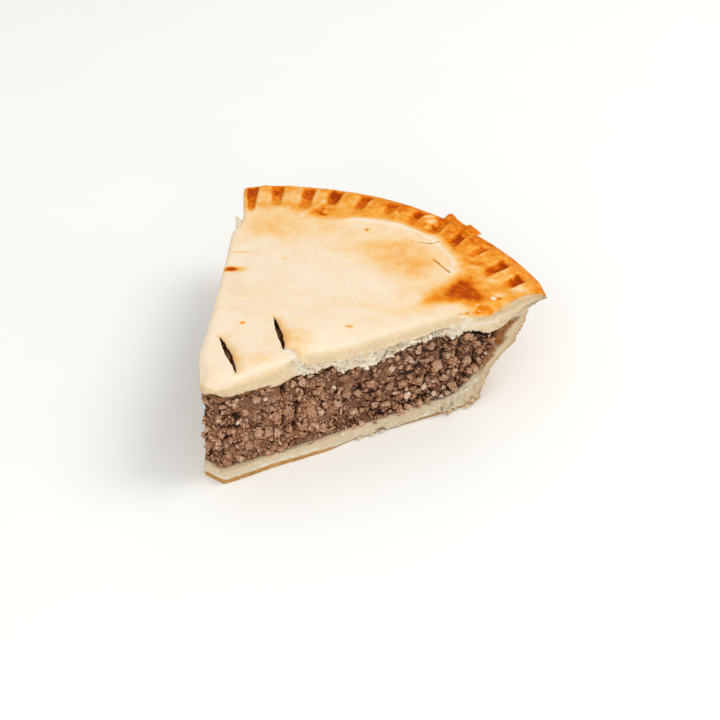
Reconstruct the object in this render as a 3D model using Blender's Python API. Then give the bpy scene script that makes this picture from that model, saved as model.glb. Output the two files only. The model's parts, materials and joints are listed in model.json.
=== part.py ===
"""One cut slice of a minced meat pie: bottom crust, meat filling and crimped lid crust.

The slice stands on its flat bottom, with its point towards -Y and its rim towards +Y.
A place in it is given by its radius and angle about the whole pie's axis, with the angle
measured from the slice's middle line towards +X, and by its height. These are worked out
in millimetres and degrees, and turned to metres when a point is made.
"""
import math

import bmesh
import bpy
import numpy
from mathutils import Vector, noise

MM = 0.001

# Driving dimensions, in millimetres and degrees.
HALF_ANGLE = 30.0            # half of the slice's angle
NOMINAL_RADIUS = 120.0       # rim radius that the profiles below are drawn for
CUT_RADIUS = 118.4           # mean rim radius at the two cuts
RIM_BULGE = 4.8              # how much further the rim stands at its middle
RIM_SKEW = 0.3               # share by which the bulge is fuller on the left
RIM_LEAN = 1.5               # how much further it stands at the right cut than the mean
LEFT_SPREAD = 0.8            # how far the left cut stands out near the point

LID_TIP = 4.8                # the blunt point of each piece, from the pie's axis
MEAT_TIP = 5.8
CRUST_TIP = 5.2

CRIMP_ANGLES = (-28.5, -23.7, -18.8, -14.4, -9.5, -4.7, 0.3, 4.1, 9.2, 14.1, 19.3, 24.3)
CRIMP_DEPTH = 1.1
CRIMP_FLOOR = 0.5            # half angle of a crimp's floor
CRIMP_MOUTH = 0.95           # half angle of a crimp at the surface
CRIMP_OUTER = 2.2            # where a crimp starts and ends, in from the rim's edge
CRIMP_INNER = 9.5

SLIT_WIDTH = 2.2
SLITS = (((-11.2, 25.1), (5.5, 11.9)), ((-2.3, 41.5), (10.8, 28.6)))
SLIT_LOW = 26.0
SLIT_HIGH = 46.0

# The lid along the slice: radius, underside and top.
LID_PROFILE = (
    (6.6, 31.1, 37.3), (13.0, 30.8, 38.2), (22.0, 30.8, 38.9), (30.2, 31.6, 39.5),
    (31.9, 31.6, 39.4), (41.0, 30.8, 38.8), (50.0, 30.2, 38.0), (61.0, 30.0, 37.1),
    (73.0, 30.2, 36.4), (84.0, 29.6, 36.3), (94.0, 28.4, 36.6), (103.0, 28.7, 37.2),
    (108.0, 30.8, 36.9), (112.0, 33.0, 36.7), (115.6, 33.9, 36.4), (118.6, 34.3, 35.9),
)
LID_NOSE = (32.6, 35.6)      # heights of the rounded front face at the blunt point
LID_EDGE = (34.6, 35.4)      # heights of the thin outer edge of the rim

# The break that runs from the second slit to the right cut, where the lid steps down.
BREAK_RADIUS = 31.0
BREAK_START = 15.0           # angle where the step begins
BREAK_DRIFT = 3.6            # how much further out its lower lip runs at the right cut
BREAK_REACH = 9.5            # the lid's rows bend for the break within this far of it
BREAK_SINK = 1.5
BREAK_LEVEL = 60.0           # radius where the sunk side is level with the lid again

# How far the lid's top rolls down at the right cut: radius and drop.
ROLL_PROFILE = (
    (0.0, 1.5), (22.0, 1.2), (30.2, 0.8), (31.9, 1.4), (41.0, 3.4), (50.0, 3.4),
    (61.0, 3.5), (73.0, 3.4), (84.0, 1.0), (90.0, 0.3),
)
ROLL_WIDTH = 5.0
ROLL_WIDTH_LEFT = 3.0
ROLL_LEFT = 0.7

# The bottom crust from its point to the rim: outer skin, then inner skin.
CRUST_PROFILE = (
    ((CRUST_TIP, 0.0), (CRUST_TIP, 4.7)), ((30.0, 0.0), (30.0, 4.7)),
    ((56.0, 0.0), (56.0, 5.2)), ((78.0, 0.0), (76.0, 6.0)), ((92.0, 0.0), (87.6, 7.0)),
    ((94.9, 1.6), (91.2, 9.4)), ((96.2, 6.2), (94.1, 12.7)), ((99.4, 12.0), (96.9, 16.3)),
    ((103.8, 17.8), (100.0, 20.6)), ((107.4, 21.6), (101.6, 24.7)),
    ((110.6, 26.0), (103.2, 28.2)), ((113.0, 30.3), (107.6, 30.1)),
    ((115.6, 32.3), (111.9, 32.5)), ((118.4, 33.1), (116.4, 33.9)),
    ((119.2, 33.4), (119.2, 34.2)),
)

# The meat filling: radius, underside and how far its top lies below the lid. Its
# underside climbs the crust's wall.
MEAT_PROFILE = (
    (MEAT_TIP, 5.1, 1.8), (9.0, 5.1, 1.5), (16.0, 5.1, 1.2), (24.0, 5.1, 0.9),
    (32.0, 5.2, 0.9), (40.0, 5.3, 0.9), (48.0, 5.4, 0.8), (56.0, 5.6, 0.8),
    (64.0, 5.9, 0.8), (72.0, 6.3, 0.8), (80.0, 7.0, 0.8), (86.0, 7.5, 0.9),
    (90.4, 9.9, 1.0), (93.6, 13.4, 1.2), (96.5, 17.1, 1.4), (98.8, 20.8, 1.7),
    (100.0, 23.2, 2.4),
)
MEAT_LEVELS = 6
MEAT_LUMP = 1.5              # how far lumps stand out of and sink into the cut faces
MEAT_LUMP_SIZE = 9.0

MEAT_COLUMNS = 14
CRUST_COLUMNS = 18


def rim_radius(angle):
    """Outer radius of the rim, which bulges at the slice's middle."""
    bulge = RIM_BULGE * math.cos(math.radians(90.0 * angle / HALF_ANGLE))
    bulge *= 1.0 - RIM_SKEW * angle / HALF_ANGLE
    return CUT_RADIUS + RIM_LEAN * angle / HALF_ANGLE + bulge


def side(angle):
    """Distance sideways of the rim's corner at this angle from the slice's middle line."""
    return rim_radius(angle) * math.sin(math.radians(angle))


# The pie's axis, placed so that the slice's box is centred over the origin.
AXIS_X = -(side(HALF_ANGLE) + side(-HALF_ANGLE)) / 2
AXIS_Y = -(rim_radius(0.0) + LID_TIP) / 2


def ease(value):
    """Smooth step from 0 to 1 as value goes from 0 to 1."""
    value = min(max(value, 0.0), 1.0)
    return value * value * (3.0 - 2.0 * value)


def place(radius, angle, height):
    """A point of the slice, in metres."""
    turn = math.radians(angle)
    across = AXIS_X + radius * math.sin(turn)
    if angle < 0.0:
        near_point = ease(1.0 - radius / NOMINAL_RADIUS)
        across += LEFT_SPREAD * near_point * angle / HALF_ANGLE
    along = AXIS_Y + radius * math.cos(turn)
    return Vector((across, along, height)) * MM


def spread(radius, angle, tip):
    """Radius at this angle of a place drawn at the nominal radius.

    Near the point it follows the blunt face, which is square to the slice's middle
    line; towards the rim it follows the rim's own radius.
    """
    share = ease((radius - tip) / (NOMINAL_RADIUS - tip) * 1.6)
    blunt = radius / math.cos(math.radians(angle))
    return (1.0 - share) * blunt + share * radius * rim_radius(angle) / NOMINAL_RADIUS


def lattice_shell(name, counts, point):
    """Closed mesh over the outside of a block of cells.

    counts are the cells across the slice, along it and through its thickness, and
    point(i, j, k) is the place of each corner.
    """
    mesh_data = bmesh.new()
    across, along, thick = counts
    corners = {}
    for i in range(across + 1):
        for j in range(along + 1):
            for k in range(thick + 1):
                if i in (0, across) or j in (0, along) or k in (0, thick):
                    corners[i, j, k] = mesh_data.verts.new(point(i, j, k))

    def face(*keys):
        mesh_data.faces.new([corners[key] for key in keys])

    for i in range(across):
        for j in range(along):
            face((i, j, 0), (i, j + 1, 0), (i + 1, j + 1, 0), (i + 1, j, 0))
            face((i, j, thick), (i + 1, j, thick), (i + 1, j + 1, thick), (i, j + 1, thick))
    for i in range(across):
        for k in range(thick):
            face((i, 0, k), (i + 1, 0, k), (i + 1, 0, k + 1), (i, 0, k + 1))
            face((i, along, k), (i, along, k + 1), (i + 1, along, k + 1), (i + 1, along, k))
    for j in range(along):
        for k in range(thick):
            face((0, j, k), (0, j, k + 1), (0, j + 1, k + 1), (0, j + 1, k))
            face((across, j, k), (across, j + 1, k), (across, j + 1, k + 1), (across, j, k + 1))
    bmesh.ops.recalc_face_normals(mesh_data, faces=mesh_data.faces)
    mesh = bpy.data.meshes.new(name)
    mesh_data.to_mesh(mesh)
    mesh_data.free()
    thing = bpy.data.objects.new(name, mesh)
    bpy.context.scene.collection.objects.link(thing)
    return thing


def paint(thing, colour, roughness):
    """Give an object its own plain material."""
    material = bpy.data.materials.new(thing.name)
    material.use_nodes = True
    shader = material.node_tree.nodes["Principled BSDF"]
    shader.inputs["Base Color"].default_value = (*colour, 1.0)
    shader.inputs["Roughness"].default_value = roughness
    shader.inputs["Metallic"].default_value = 0.0
    thing.data.materials.append(material)


def smooth(thing, sharp_angle):
    """Shade smooth, with edges sharper than this kept sharp."""
    thing.data.shade_smooth()
    thing.data.set_sharp_from_angle(angle=math.radians(sharp_angle))


# ---- lid crust ----

def lid_angles():
    """Angles of the lid's columns: four for each crimp, and the two cuts."""
    angles = [-HALF_ANGLE]
    for middle in CRIMP_ANGLES:
        for offset in (-CRIMP_MOUTH, -CRIMP_FLOOR, CRIMP_FLOOR, CRIMP_MOUTH):
            angles.append(middle + offset)
    angles += [27.2, 28.8, HALF_ANGLE]
    return angles


def crimp_depth(radius, angle):
    """How deep the crimps press into the rim here."""
    inward = rim_radius(angle) - radius
    along = ease((inward - CRIMP_OUTER + 0.8) / 1.6) * ease((CRIMP_INNER + 1.0 - inward) / 2.5)
    across = 0.0
    for middle in CRIMP_ANGLES:
        reach = (CRIMP_MOUTH - abs(angle - middle)) / (CRIMP_MOUTH - CRIMP_FLOOR)
        across = max(across, ease(reach + 1e-6))
    return CRIMP_DEPTH * along * across


def break_share(angle):
    """How open the break is at this angle, from 0 at its start to 1 at the right cut."""
    return ease((angle - BREAK_START) / (HALF_ANGLE - BREAK_START))


def roll_down(nominal, angle):
    """How far the lid's top rolls down towards the nearer cut."""
    to_cut = nominal * math.sin(math.radians(HALF_ANGLE - abs(angle)))
    if angle < 0.0:
        return ROLL_LEFT * max(0.0, 1.0 - to_cut / ROLL_WIDTH_LEFT) ** 2
    drop = float(numpy.interp(nominal, *zip(*ROLL_PROFILE)))
    return drop * max(0.0, 1.0 - to_cut / ROLL_WIDTH) ** 2


def break_sink(nominal, angle):
    """How far the lid is sunk beyond the break."""
    if nominal < BREAK_RADIUS:
        return 0.0
    fade = ease((BREAK_LEVEL - nominal) / (BREAK_LEVEL - BREAK_RADIUS) * 1.5)
    return BREAK_SINK * break_share(angle) * fade


def lid_under(nominal, angle):
    """Height of the lid's underside."""
    radii, unders, _ = zip(*LID_PROFILE)
    return float(numpy.interp(nominal, radii, unders)) - 0.5 * break_sink(nominal, angle)


def lid_point(angles, i, j, k):
    """Corner of the lid's lattice."""
    angle = angles[i]
    if j == 0:
        return place(LID_TIP / math.cos(math.radians(angle)), angle, LID_NOSE[k])
    if j == len(LID_PROFILE) + 1:
        return place(rim_radius(angle), angle, LID_EDGE[k])
    nominal, _, top = LID_PROFILE[j - 1]
    radius = spread(nominal, angle, LID_TIP)
    if nominal > BREAK_RADIUS:
        near_break = 1.0 - (nominal - BREAK_RADIUS) / BREAK_REACH
        radius += BREAK_DRIFT * break_share(angle) * ease(near_break)
    if k == 0:
        return place(radius, angle, lid_under(nominal, angle))
    sunk = break_sink(nominal, angle) + roll_down(nominal, angle)
    return place(radius, angle, top - sunk - crimp_depth(radius, angle))


def slit_cutter(name, start, end):
    """Upright lens-shaped block that cuts one slit through the lid."""
    start = Vector(start)
    end = Vector(end)
    run = end - start
    sideways = Vector((-run.y, run.x)).normalized()
    steps = 6
    outline = []
    for step in range(steps + 1):
        share = step / steps
        swell = SLIT_WIDTH / 2 * math.sin(math.pi * share)
        outline.append(start + run * share + sideways * swell)
    for step in range(steps - 1, 0, -1):
        share = step / steps
        swell = SLIT_WIDTH / 2 * math.sin(math.pi * share)
        outline.append(start + run * share - sideways * swell)
    shape = bmesh.new()
    low = []
    for spot in outline:
        low.append(shape.verts.new(Vector((spot.x + AXIS_X, spot.y + AXIS_Y, SLIT_LOW)) * MM))
    floor = shape.faces.new(low)
    raised = bmesh.ops.extrude_face_region(shape, geom=[floor])
    lifted = [item for item in raised["geom"] if isinstance(item, bmesh.types.BMVert)]
    bmesh.ops.translate(shape, vec=Vector((0, 0, SLIT_HIGH - SLIT_LOW)) * MM, verts=lifted)
    bmesh.ops.recalc_face_normals(shape, faces=shape.faces)
    mesh = bpy.data.meshes.new(name)
    shape.to_mesh(mesh)
    shape.free()
    cutter = bpy.data.objects.new(name, mesh)
    bpy.context.scene.collection.objects.link(cutter)
    cutter.hide_render = True
    cutter.display_type = "WIRE"
    return cutter


def make_lid():
    """The top crust, with its crimped rim, two slits and the break by the right cut."""
    angles = lid_angles()
    counts = (len(angles) - 1, len(LID_PROFILE) + 1, 1)
    lid = lattice_shell("lid_crust", counts, lambda i, j, k: lid_point(angles, i, j, k))
    for number, (start, end) in enumerate(SLITS, start=1):
        cut = lid.modifiers.new(f"slit {number}", "BOOLEAN")
        cut.object = slit_cutter(f"slit_cutter_{number}", start, end)
        cut.operation = "DIFFERENCE"
        cut.solver = "EXACT"
    paint(lid, (0.80, 0.55, 0.27), 0.6)
    smooth(lid, 40)


# ---- bottom crust ----

def crust_point(i, j, k):
    """Corner of the bottom crust's lattice."""
    angle = HALF_ANGLE * (2.0 * i / CRUST_COLUMNS - 1.0)
    nominal, height = CRUST_PROFILE[j][k]
    return place(spread(nominal, angle, CRUST_TIP), angle, height)


def make_bottom_crust():
    """The bottom crust: flat base, flared wall and the thin flange under the rim."""
    counts = (CRUST_COLUMNS, len(CRUST_PROFILE) - 1, 1)
    crust = lattice_shell("bottom_crust", counts, crust_point)
    paint(crust, (0.62, 0.42, 0.20), 0.75)
    smooth(crust, 40)


# ---- meat filling ----

def meat_point(i, j, k):
    """Corner of the filling's lattice, whose cut faces are lumpy."""
    angle = HALF_ANGLE * (2.0 * i / MEAT_COLUMNS - 1.0)
    nominal, low, clear = MEAT_PROFILE[j]
    high = lid_under(nominal, angle) - clear
    height = low + (high - low) * k / MEAT_LEVELS
    spot = place(spread(nominal, angle, MEAT_TIP), angle, height)
    if i in (0, MEAT_COLUMNS) and 0 < k < MEAT_LEVELS:
        lump = noise.noise(spot / (MEAT_LUMP_SIZE * MM))
        outward = math.radians(angle + math.copysign(90.0, angle))
        spot += Vector((math.sin(outward), math.cos(outward), 0.0)) * lump * MEAT_LUMP * MM * 2
    return spot


def make_meat():
    """The packed minced meat, out to its uneven outline."""
    counts = (MEAT_COLUMNS, len(MEAT_PROFILE) - 1, MEAT_LEVELS)
    meat = lattice_shell("meat_filling", counts, meat_point)
    paint(meat, (0.27, 0.17, 0.12), 0.7)
    smooth(meat, 60)


def main():
    for thing in list(bpy.data.objects):
        bpy.data.objects.remove(thing, do_unlink=True)
    make_lid()
    make_bottom_crust()
    make_meat()


main()
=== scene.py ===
"""One cut slice of a minced meat pie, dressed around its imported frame.

A place in the slice is given by its radius and angle about the whole pie's axis, with the
angle measured from the slice's middle line towards +X, and by its height. Places are
worked out in millimetres and degrees, and turned to metres when a mesh is made.
"""
import json
import math

import bmesh
import bpy
import numpy as np
from bpy.props import FloatProperty, FloatVectorProperty, IntProperty, PointerProperty
from mathutils import Matrix, Vector, noise
from mathutils.bvhtree import BVHTree
from mathutils.geometry import delaunay_2d_cdt

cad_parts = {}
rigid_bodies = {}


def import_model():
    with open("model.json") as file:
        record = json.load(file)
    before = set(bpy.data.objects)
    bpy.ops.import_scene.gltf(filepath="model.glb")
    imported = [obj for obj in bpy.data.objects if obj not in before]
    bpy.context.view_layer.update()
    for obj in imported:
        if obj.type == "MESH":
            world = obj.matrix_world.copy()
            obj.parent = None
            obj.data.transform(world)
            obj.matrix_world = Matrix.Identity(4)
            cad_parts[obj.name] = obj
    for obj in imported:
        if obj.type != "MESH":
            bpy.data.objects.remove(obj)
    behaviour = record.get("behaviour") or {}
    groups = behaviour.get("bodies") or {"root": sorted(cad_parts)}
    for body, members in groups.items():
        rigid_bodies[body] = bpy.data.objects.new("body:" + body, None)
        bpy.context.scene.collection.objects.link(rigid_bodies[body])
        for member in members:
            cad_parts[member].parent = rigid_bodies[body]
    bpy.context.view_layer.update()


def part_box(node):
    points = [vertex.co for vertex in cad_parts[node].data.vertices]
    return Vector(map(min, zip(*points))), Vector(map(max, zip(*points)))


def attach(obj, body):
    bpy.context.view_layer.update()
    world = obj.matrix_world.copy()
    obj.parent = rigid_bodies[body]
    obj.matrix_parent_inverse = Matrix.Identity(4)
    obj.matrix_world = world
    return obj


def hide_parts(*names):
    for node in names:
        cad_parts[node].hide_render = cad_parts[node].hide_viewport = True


bl_info = {
    "name": "Meat pie slice",
    "version": (1, 0, 0),
    "blender": (4, 5, 0),
    "location": "3D View > Sidebar > Meat pie",
    "description": "Builds a cut slice of minced meat pie: crusts, filling, crumbs and stage",
    "category": "Object",
}

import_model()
MM = 0.001

# ---- driving sizes, in millimetres and degrees, as in the part ----

HALF_ANGLE = 30.0
CUT_SIN = math.sin(math.radians(HALF_ANGLE))
CUT_COS = math.cos(math.radians(HALF_ANGLE))
RIGHT_WAY = np.array((CUT_COS, -CUT_SIN, 0.0))
LEFT_WAY = np.array((-CUT_COS, -CUT_SIN, 0.0))
NOMINAL_RADIUS = 120.0
CUT_RADIUS = 118.4
RIM_BULGE = 4.8
RIM_SKEW = 0.3
RIM_LEAN = 1.5
LEFT_SPREAD = 0.8
LID_TIP = 4.8
MEAT_TIP = 5.8
CRUST_TIP = 5.2

# The lid along the slice: nominal radius, underside and top.
LID_PROFILE = (
    (4.8, 32.6, 35.6), (6.6, 31.1, 37.3), (13.0, 30.8, 38.2), (22.0, 30.8, 38.9),
    (30.2, 31.6, 39.4), (41.0, 30.8, 38.9), (50.0, 30.2, 38.0), (61.0, 30.0, 37.1),
    (73.0, 30.2, 36.4), (84.0, 29.6, 36.3), (94.0, 28.4, 36.6), (103.0, 28.7, 37.1),
    (108.0, 30.8, 36.9), (112.0, 33.0, 36.7), (115.6, 33.9, 36.5), (118.6, 34.3, 36.0),
    (120.0, 34.6, 35.3),
)

# The pressed bars of the rim: angle, drift of the angle inwards, how far in they start
# and end, half width in degrees, and how dark.
CRIMPS = (
    (-28.3, 0.5, 1.5, 20.0, 0.95, 1.00), (-23.9, 1.1, 2.0, 17.0, 0.78, 0.62),
    (-18.6, 0.9, 2.5, 18.0, 0.80, 1.00), (-14.1, 0.6, 2.5, 13.8, 0.80, 1.18),
    (-9.0, 0.4, 2.8, 14.0, 0.70, 0.85), (-4.0, 0.1, 3.0, 13.0, 0.62, 0.55),
    (0.7, 0.2, 3.0, 11.5, 0.62, 0.80), (4.8, 1.2, 1.0, 13.0, 0.85, 0.90),
    (9.8, 1.2, 3.0, 14.5, 0.72, 0.95), (15.1, 0.2, 5.0, 14.0, 0.58, 0.60),
    (20.5, 0.7, 4.6, 16.0, 0.85, 1.42), (25.3, 1.0, 5.0, 14.0, 0.90, 1.45),
)

SLITS = (((-10.2, 24.0), (4.5, 12.6)), ((-2.3, 41.6), (10.8, 28.5)))

# The break in the lid: the angle where it starts, its place, the slant of its face, and
# where the lid is level again beyond it.
BREAK_START = 17.0
BREAK_AT = 31.0
BREAK_SLANT = 4.6
BREAK_LEVEL = 60.0

# How far the lid's top rolls down by the right cut.
ROLL_PROFILE = (
    (0.0, 2.2), (10.0, 2.1), (22.0, 1.9), (28.0, 1.7), (31.0, 1.3), (33.0, 2.4), (41.0, 3.6),
    (50.0, 3.6), (61.0, 3.6), (73.0, 3.4), (84.0, 2.2), (89.0, 0.8), (92.0, 1.2), (95.0, 2.5),
    (99.0, 2.4), (103.0, 1.3), (107.0, 0.3), (114.0, 0.3), (120.0, 0.4),
)

# How far the lid's left edge stands out of the plain left cut.
LEFT_EDGE = (
    (4.8, 1.3), (10.0, 1.6), (15.0, 1.5), (20.0, 0.9), (26.0, 0.3), (33.0, 0.0), (87.0, 0.0),
    (91.0, -0.4), (93.5, -1.8), (97.0, -2.7), (101.0, -2.6), (106.0, -2.0), (111.0, -1.4),
    (117.0, -0.9), (120.0, -0.6),
)

# The bottom crust from its point to the rim: outer skin, then inner skin.
CRUST_PROFILE = (
    ((5.2, 0.0), (5.2, 4.7)), ((30.0, 0.0), (30.0, 4.7)), ((56.0, 0.0), (56.0, 5.2)),
    ((78.0, 0.0), (76.0, 6.0)), ((92.0, 0.0), (87.6, 7.0)), ((94.9, 1.6), (91.2, 9.4)),
    ((96.2, 6.2), (94.1, 12.7)), ((99.4, 12.0), (96.9, 16.3)), ((103.8, 17.8), (100.0, 20.6)),
    ((107.4, 21.6), (101.6, 24.7)), ((110.6, 26.0), (103.2, 28.2)),
    ((113.0, 30.3), (107.6, 30.1)), ((115.6, 32.3), (111.9, 32.5)),
    ((118.4, 33.1), (116.4, 33.9)), ((119.2, 33.4), (119.2, 34.2)),
)

# How far the crust's outer skin is pressed out and up along the right cut, at each of
# the places above.
CUT_SWELL = (
    (0.0, 0.0), (0.0, 0.0), (0.0, 0.0), (0.0, 0.0), (0.0, 0.0), (0.7, -0.2), (0.4, -0.8),
    (0.2, 0.4), (0.1, -0.8), (0.4, -0.8), (-0.3, -0.8), (-0.9, -1.3), (-3.0, -0.7),
    (-3.8, -0.1), (-1.8, 0.5),
)

# The meat filling: nominal radius, underside and how far its top lies below the lid.
MEAT_PROFILE = (
    (5.8, 5.1, 1.8), (9.0, 5.1, 1.5), (16.0, 5.1, 1.2), (24.0, 5.1, 0.9),
    (32.0, 5.2, 0.9), (40.0, 5.3, 0.9), (48.0, 5.4, 0.8), (56.0, 5.6, 0.8),
    (64.0, 5.9, 0.8), (72.0, 6.3, 0.8), (80.0, 7.0, 0.8), (86.0, 7.5, 0.9),
    (90.4, 9.9, 1.0), (93.6, 13.4, 1.2), (96.5, 17.1, 1.4), (98.8, 20.8, 1.7),
    (100.0, 23.2, 2.4),
)

# Where the golden rim band begins, and the pale ridge inside it: angle and radius.
BAND_EDGE = (
    (-30.0, 100.5), (-25.9, 101.8), (-20.4, 102.2), (-15.1, 100.6), (-13.0, 100.8),
    (-10.6, 102.0), (-8.5, 104.5), (-6.4, 106.5), (-4.2, 108.2), (-0.4, 109.9),
    (4.7, 110.3), (7.6, 110.4), (10.4, 108.7), (12.6, 106.8), (16.4, 103.4),
    (18.7, 101.2), (22.0, 97.5), (26.0, 93.0), (30.0, 90.0),
)
RIDGE = (
    (-9.5, 101.5), (-8.4, 103.4), (-6.5, 105.3), (-4.7, 106.0), (-2.5, 107.5),
    (-0.4, 108.2), (4.0, 108.9), (6.4, 108.6), (9.4, 106.6), (14.3, 103.9), (17.0, 101.2),
)

# Browned and tinted places on the lid: x and y from the pie's axis, half length, half
# width, how much browner, and how sharp their edges are.
SPOT_TURN = 33.9
BROAD_SPOT = 3.0
BROAD_GAIN = 0.88
SPOTS = (
    (13.5, 93.0, 11.5, 7.0, 0.30, 0.0), (2.0, 96.5, 9.0, 5.5, 0.17, 0.0),
    (8.0, 101.5, 8.0, 3.2, 0.10, 0.0), (17.5, 88.0, 5.0, 3.0, 0.10, 0.0),
    (-33.3, 85.2, 6.0, 5.0, 0.12, 0.0), (-40.0, 88.0, 8.0, 9.0, 0.12, 0.0),
    (-22.0, 92.0, 7.0, 4.0, 0.09, 0.0), (9.1, 36.5, 5.0, 4.0, 0.18, 0.0),
    (8.9, 20.1, 5.0, 4.0, 0.17, 0.0), (27.5, 84.0, 7.0, 5.0, 0.13, 0.0),
    (32.0, 74.0, 5.0, 3.0, 0.16, 0.0), (25.0, 66.0, 6.0, 2.2, 0.10, 0.0),
    (2.0, 50.0, 9.0, 6.0, 0.04, 0.0), (-18.0, 76.0, 5.0, 4.0, 0.06, 0.0),
    (12.0, 62.0, 8.0, 3.0, 0.05, 0.0), (22.0, 58.0, 7.0, 2.5, 0.06, 0.0),
    (-7.3, 100.7, 0.8, 0.7, 0.52, 0.5), (-7.6, 32.3, 0.9, 0.7, 0.56, 0.3),
    (19.2, 51.2, 1.4, 0.6, 0.45, 0.3), (-20.5, 72.5, 1.3, 1.0, 0.18, 0.0),
    (-30.8, 57.2, 2.3, 1.5, 0.80, 0.4), (-28.4, 58.8, 2.8, 1.8, 0.34, 0.0),
    (49.6, 90.5, 0.7, 0.6, 0.45, 0.4), (-34.3, 67.6, 3.0, 0.32, 0.34, 0.0),
    (34.0, 103.5, 2.6, 1.6, 0.22, 0.0), (44.0, 93.0, 4.0, 2.0, 0.10, 0.0),
    (7.6, 116.9, 2.4, 1.5, -0.34, 0.7), (8.4, 113.0, 1.5, 0.9, -0.22, 0.6),
    # The pale spots from (42.8, 98.2) to (33.0, 101.2), between the bars on the right of the rim,
    # are painted highlights on puffed dough.
    (5.3, 118.6, 2.0, 0.8, -0.30, 0.6), (42.8, 98.2, 1.9, 1.2, -0.20, 0.3),
    (48.6, 92.0, 2.0, 1.1, -0.20, 0.3), (52.2, 97.8, 2.2, 1.1, -0.20, 0.3),
    (33.0, 101.2, 2.2, 1.1, -0.18, 0.3),
)

# The dark patch by the right cut, and the softer orange round it.
PATCH = (
    (33.7, 83.6), (33.2, 87.8), (33.6, 93.2), (36.0, 93.4), (38.6, 92.0), (42.2, 90.2),
    (45.2, 88.0), (44.0, 86.4), (40.0, 85.2), (36.6, 83.9),
)
PATCH_HALO = (
    (30.5, 75.7), (29.8, 80.8), (30.8, 85.9), (31.8, 91.0), (32.1, 94.7), (35.4, 95.3),
    (39.5, 92.0), (45.8, 89.4), (44.6, 85.4), (39.7, 82.5), (34.1, 79.0),
)

# The patch by the right cut where the skin has peeled off.
PEEL = (
    (42.1, 76.1), (43.2, 78.5), (44.6, 80.4), (45.8, 81.7), (45.3, 84.0), (45.6, 85.2),
    (47.3, 86.1), (49.0, 86.3), (51.8, 87.2), (52.6, 86.4), (50.8, 85.0), (49.2, 83.6),
    (47.4, 82.7), (46.6, 81.2), (44.6, 78.6),
)

# The blister near the rim, and the fold beside it with its stem.
BLISTER = (-24.6, 101.8)
FOLD = ((-28.6, 107.6), (-29.1, 102.2), (-30.2, 96.0))
FOLD_STEM = ((-27.4, 106.2), (-25.3, 102.8))

# Fine cracks in the skin, each a run of points with a width and a depth.
CRACKS = (
    (((10.6, 103.6), (12.1, 104.3), (15.2, 105.4), (16.2, 106.6), (15.9, 108.0)), 0.22, 0.8),
    (((19.8, 98.3), (22.2, 97.3), (24.0, 96.5), (28.4, 94.8)), 0.22, 0.8),
)

# Where a chip is missing from the base's lower edge.
CHIP = (30.4, 52.6)

# How far the lid's underside rises above its plain height along the right cut.
HANG_PROFILE = (
    (5.0, 0.0), (18.0, -0.4), (24.0, -0.8), (28.0, 0.4), (34.0, 0.3), (37.5, 1.4),
    (41.0, 1.0), (43.5, -1.7), (51.0, -1.5), (54.0, -2.6), (57.5, -2.8), (60.0, -1.4),
    (63.0, -1.0), (67.0, 0.2), (72.0, 0.7), (77.0, 1.6), (82.0, 1.8), (84.5, 0.8),
    (87.0, 0.2), (90.0, 1.4), (93.0, 1.2), (96.0, 0.0), (99.0, -1.0), (103.0, -1.2),
    (106.0, -0.2), (109.0, 0.0), (120.0, 0.0),
)

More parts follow.
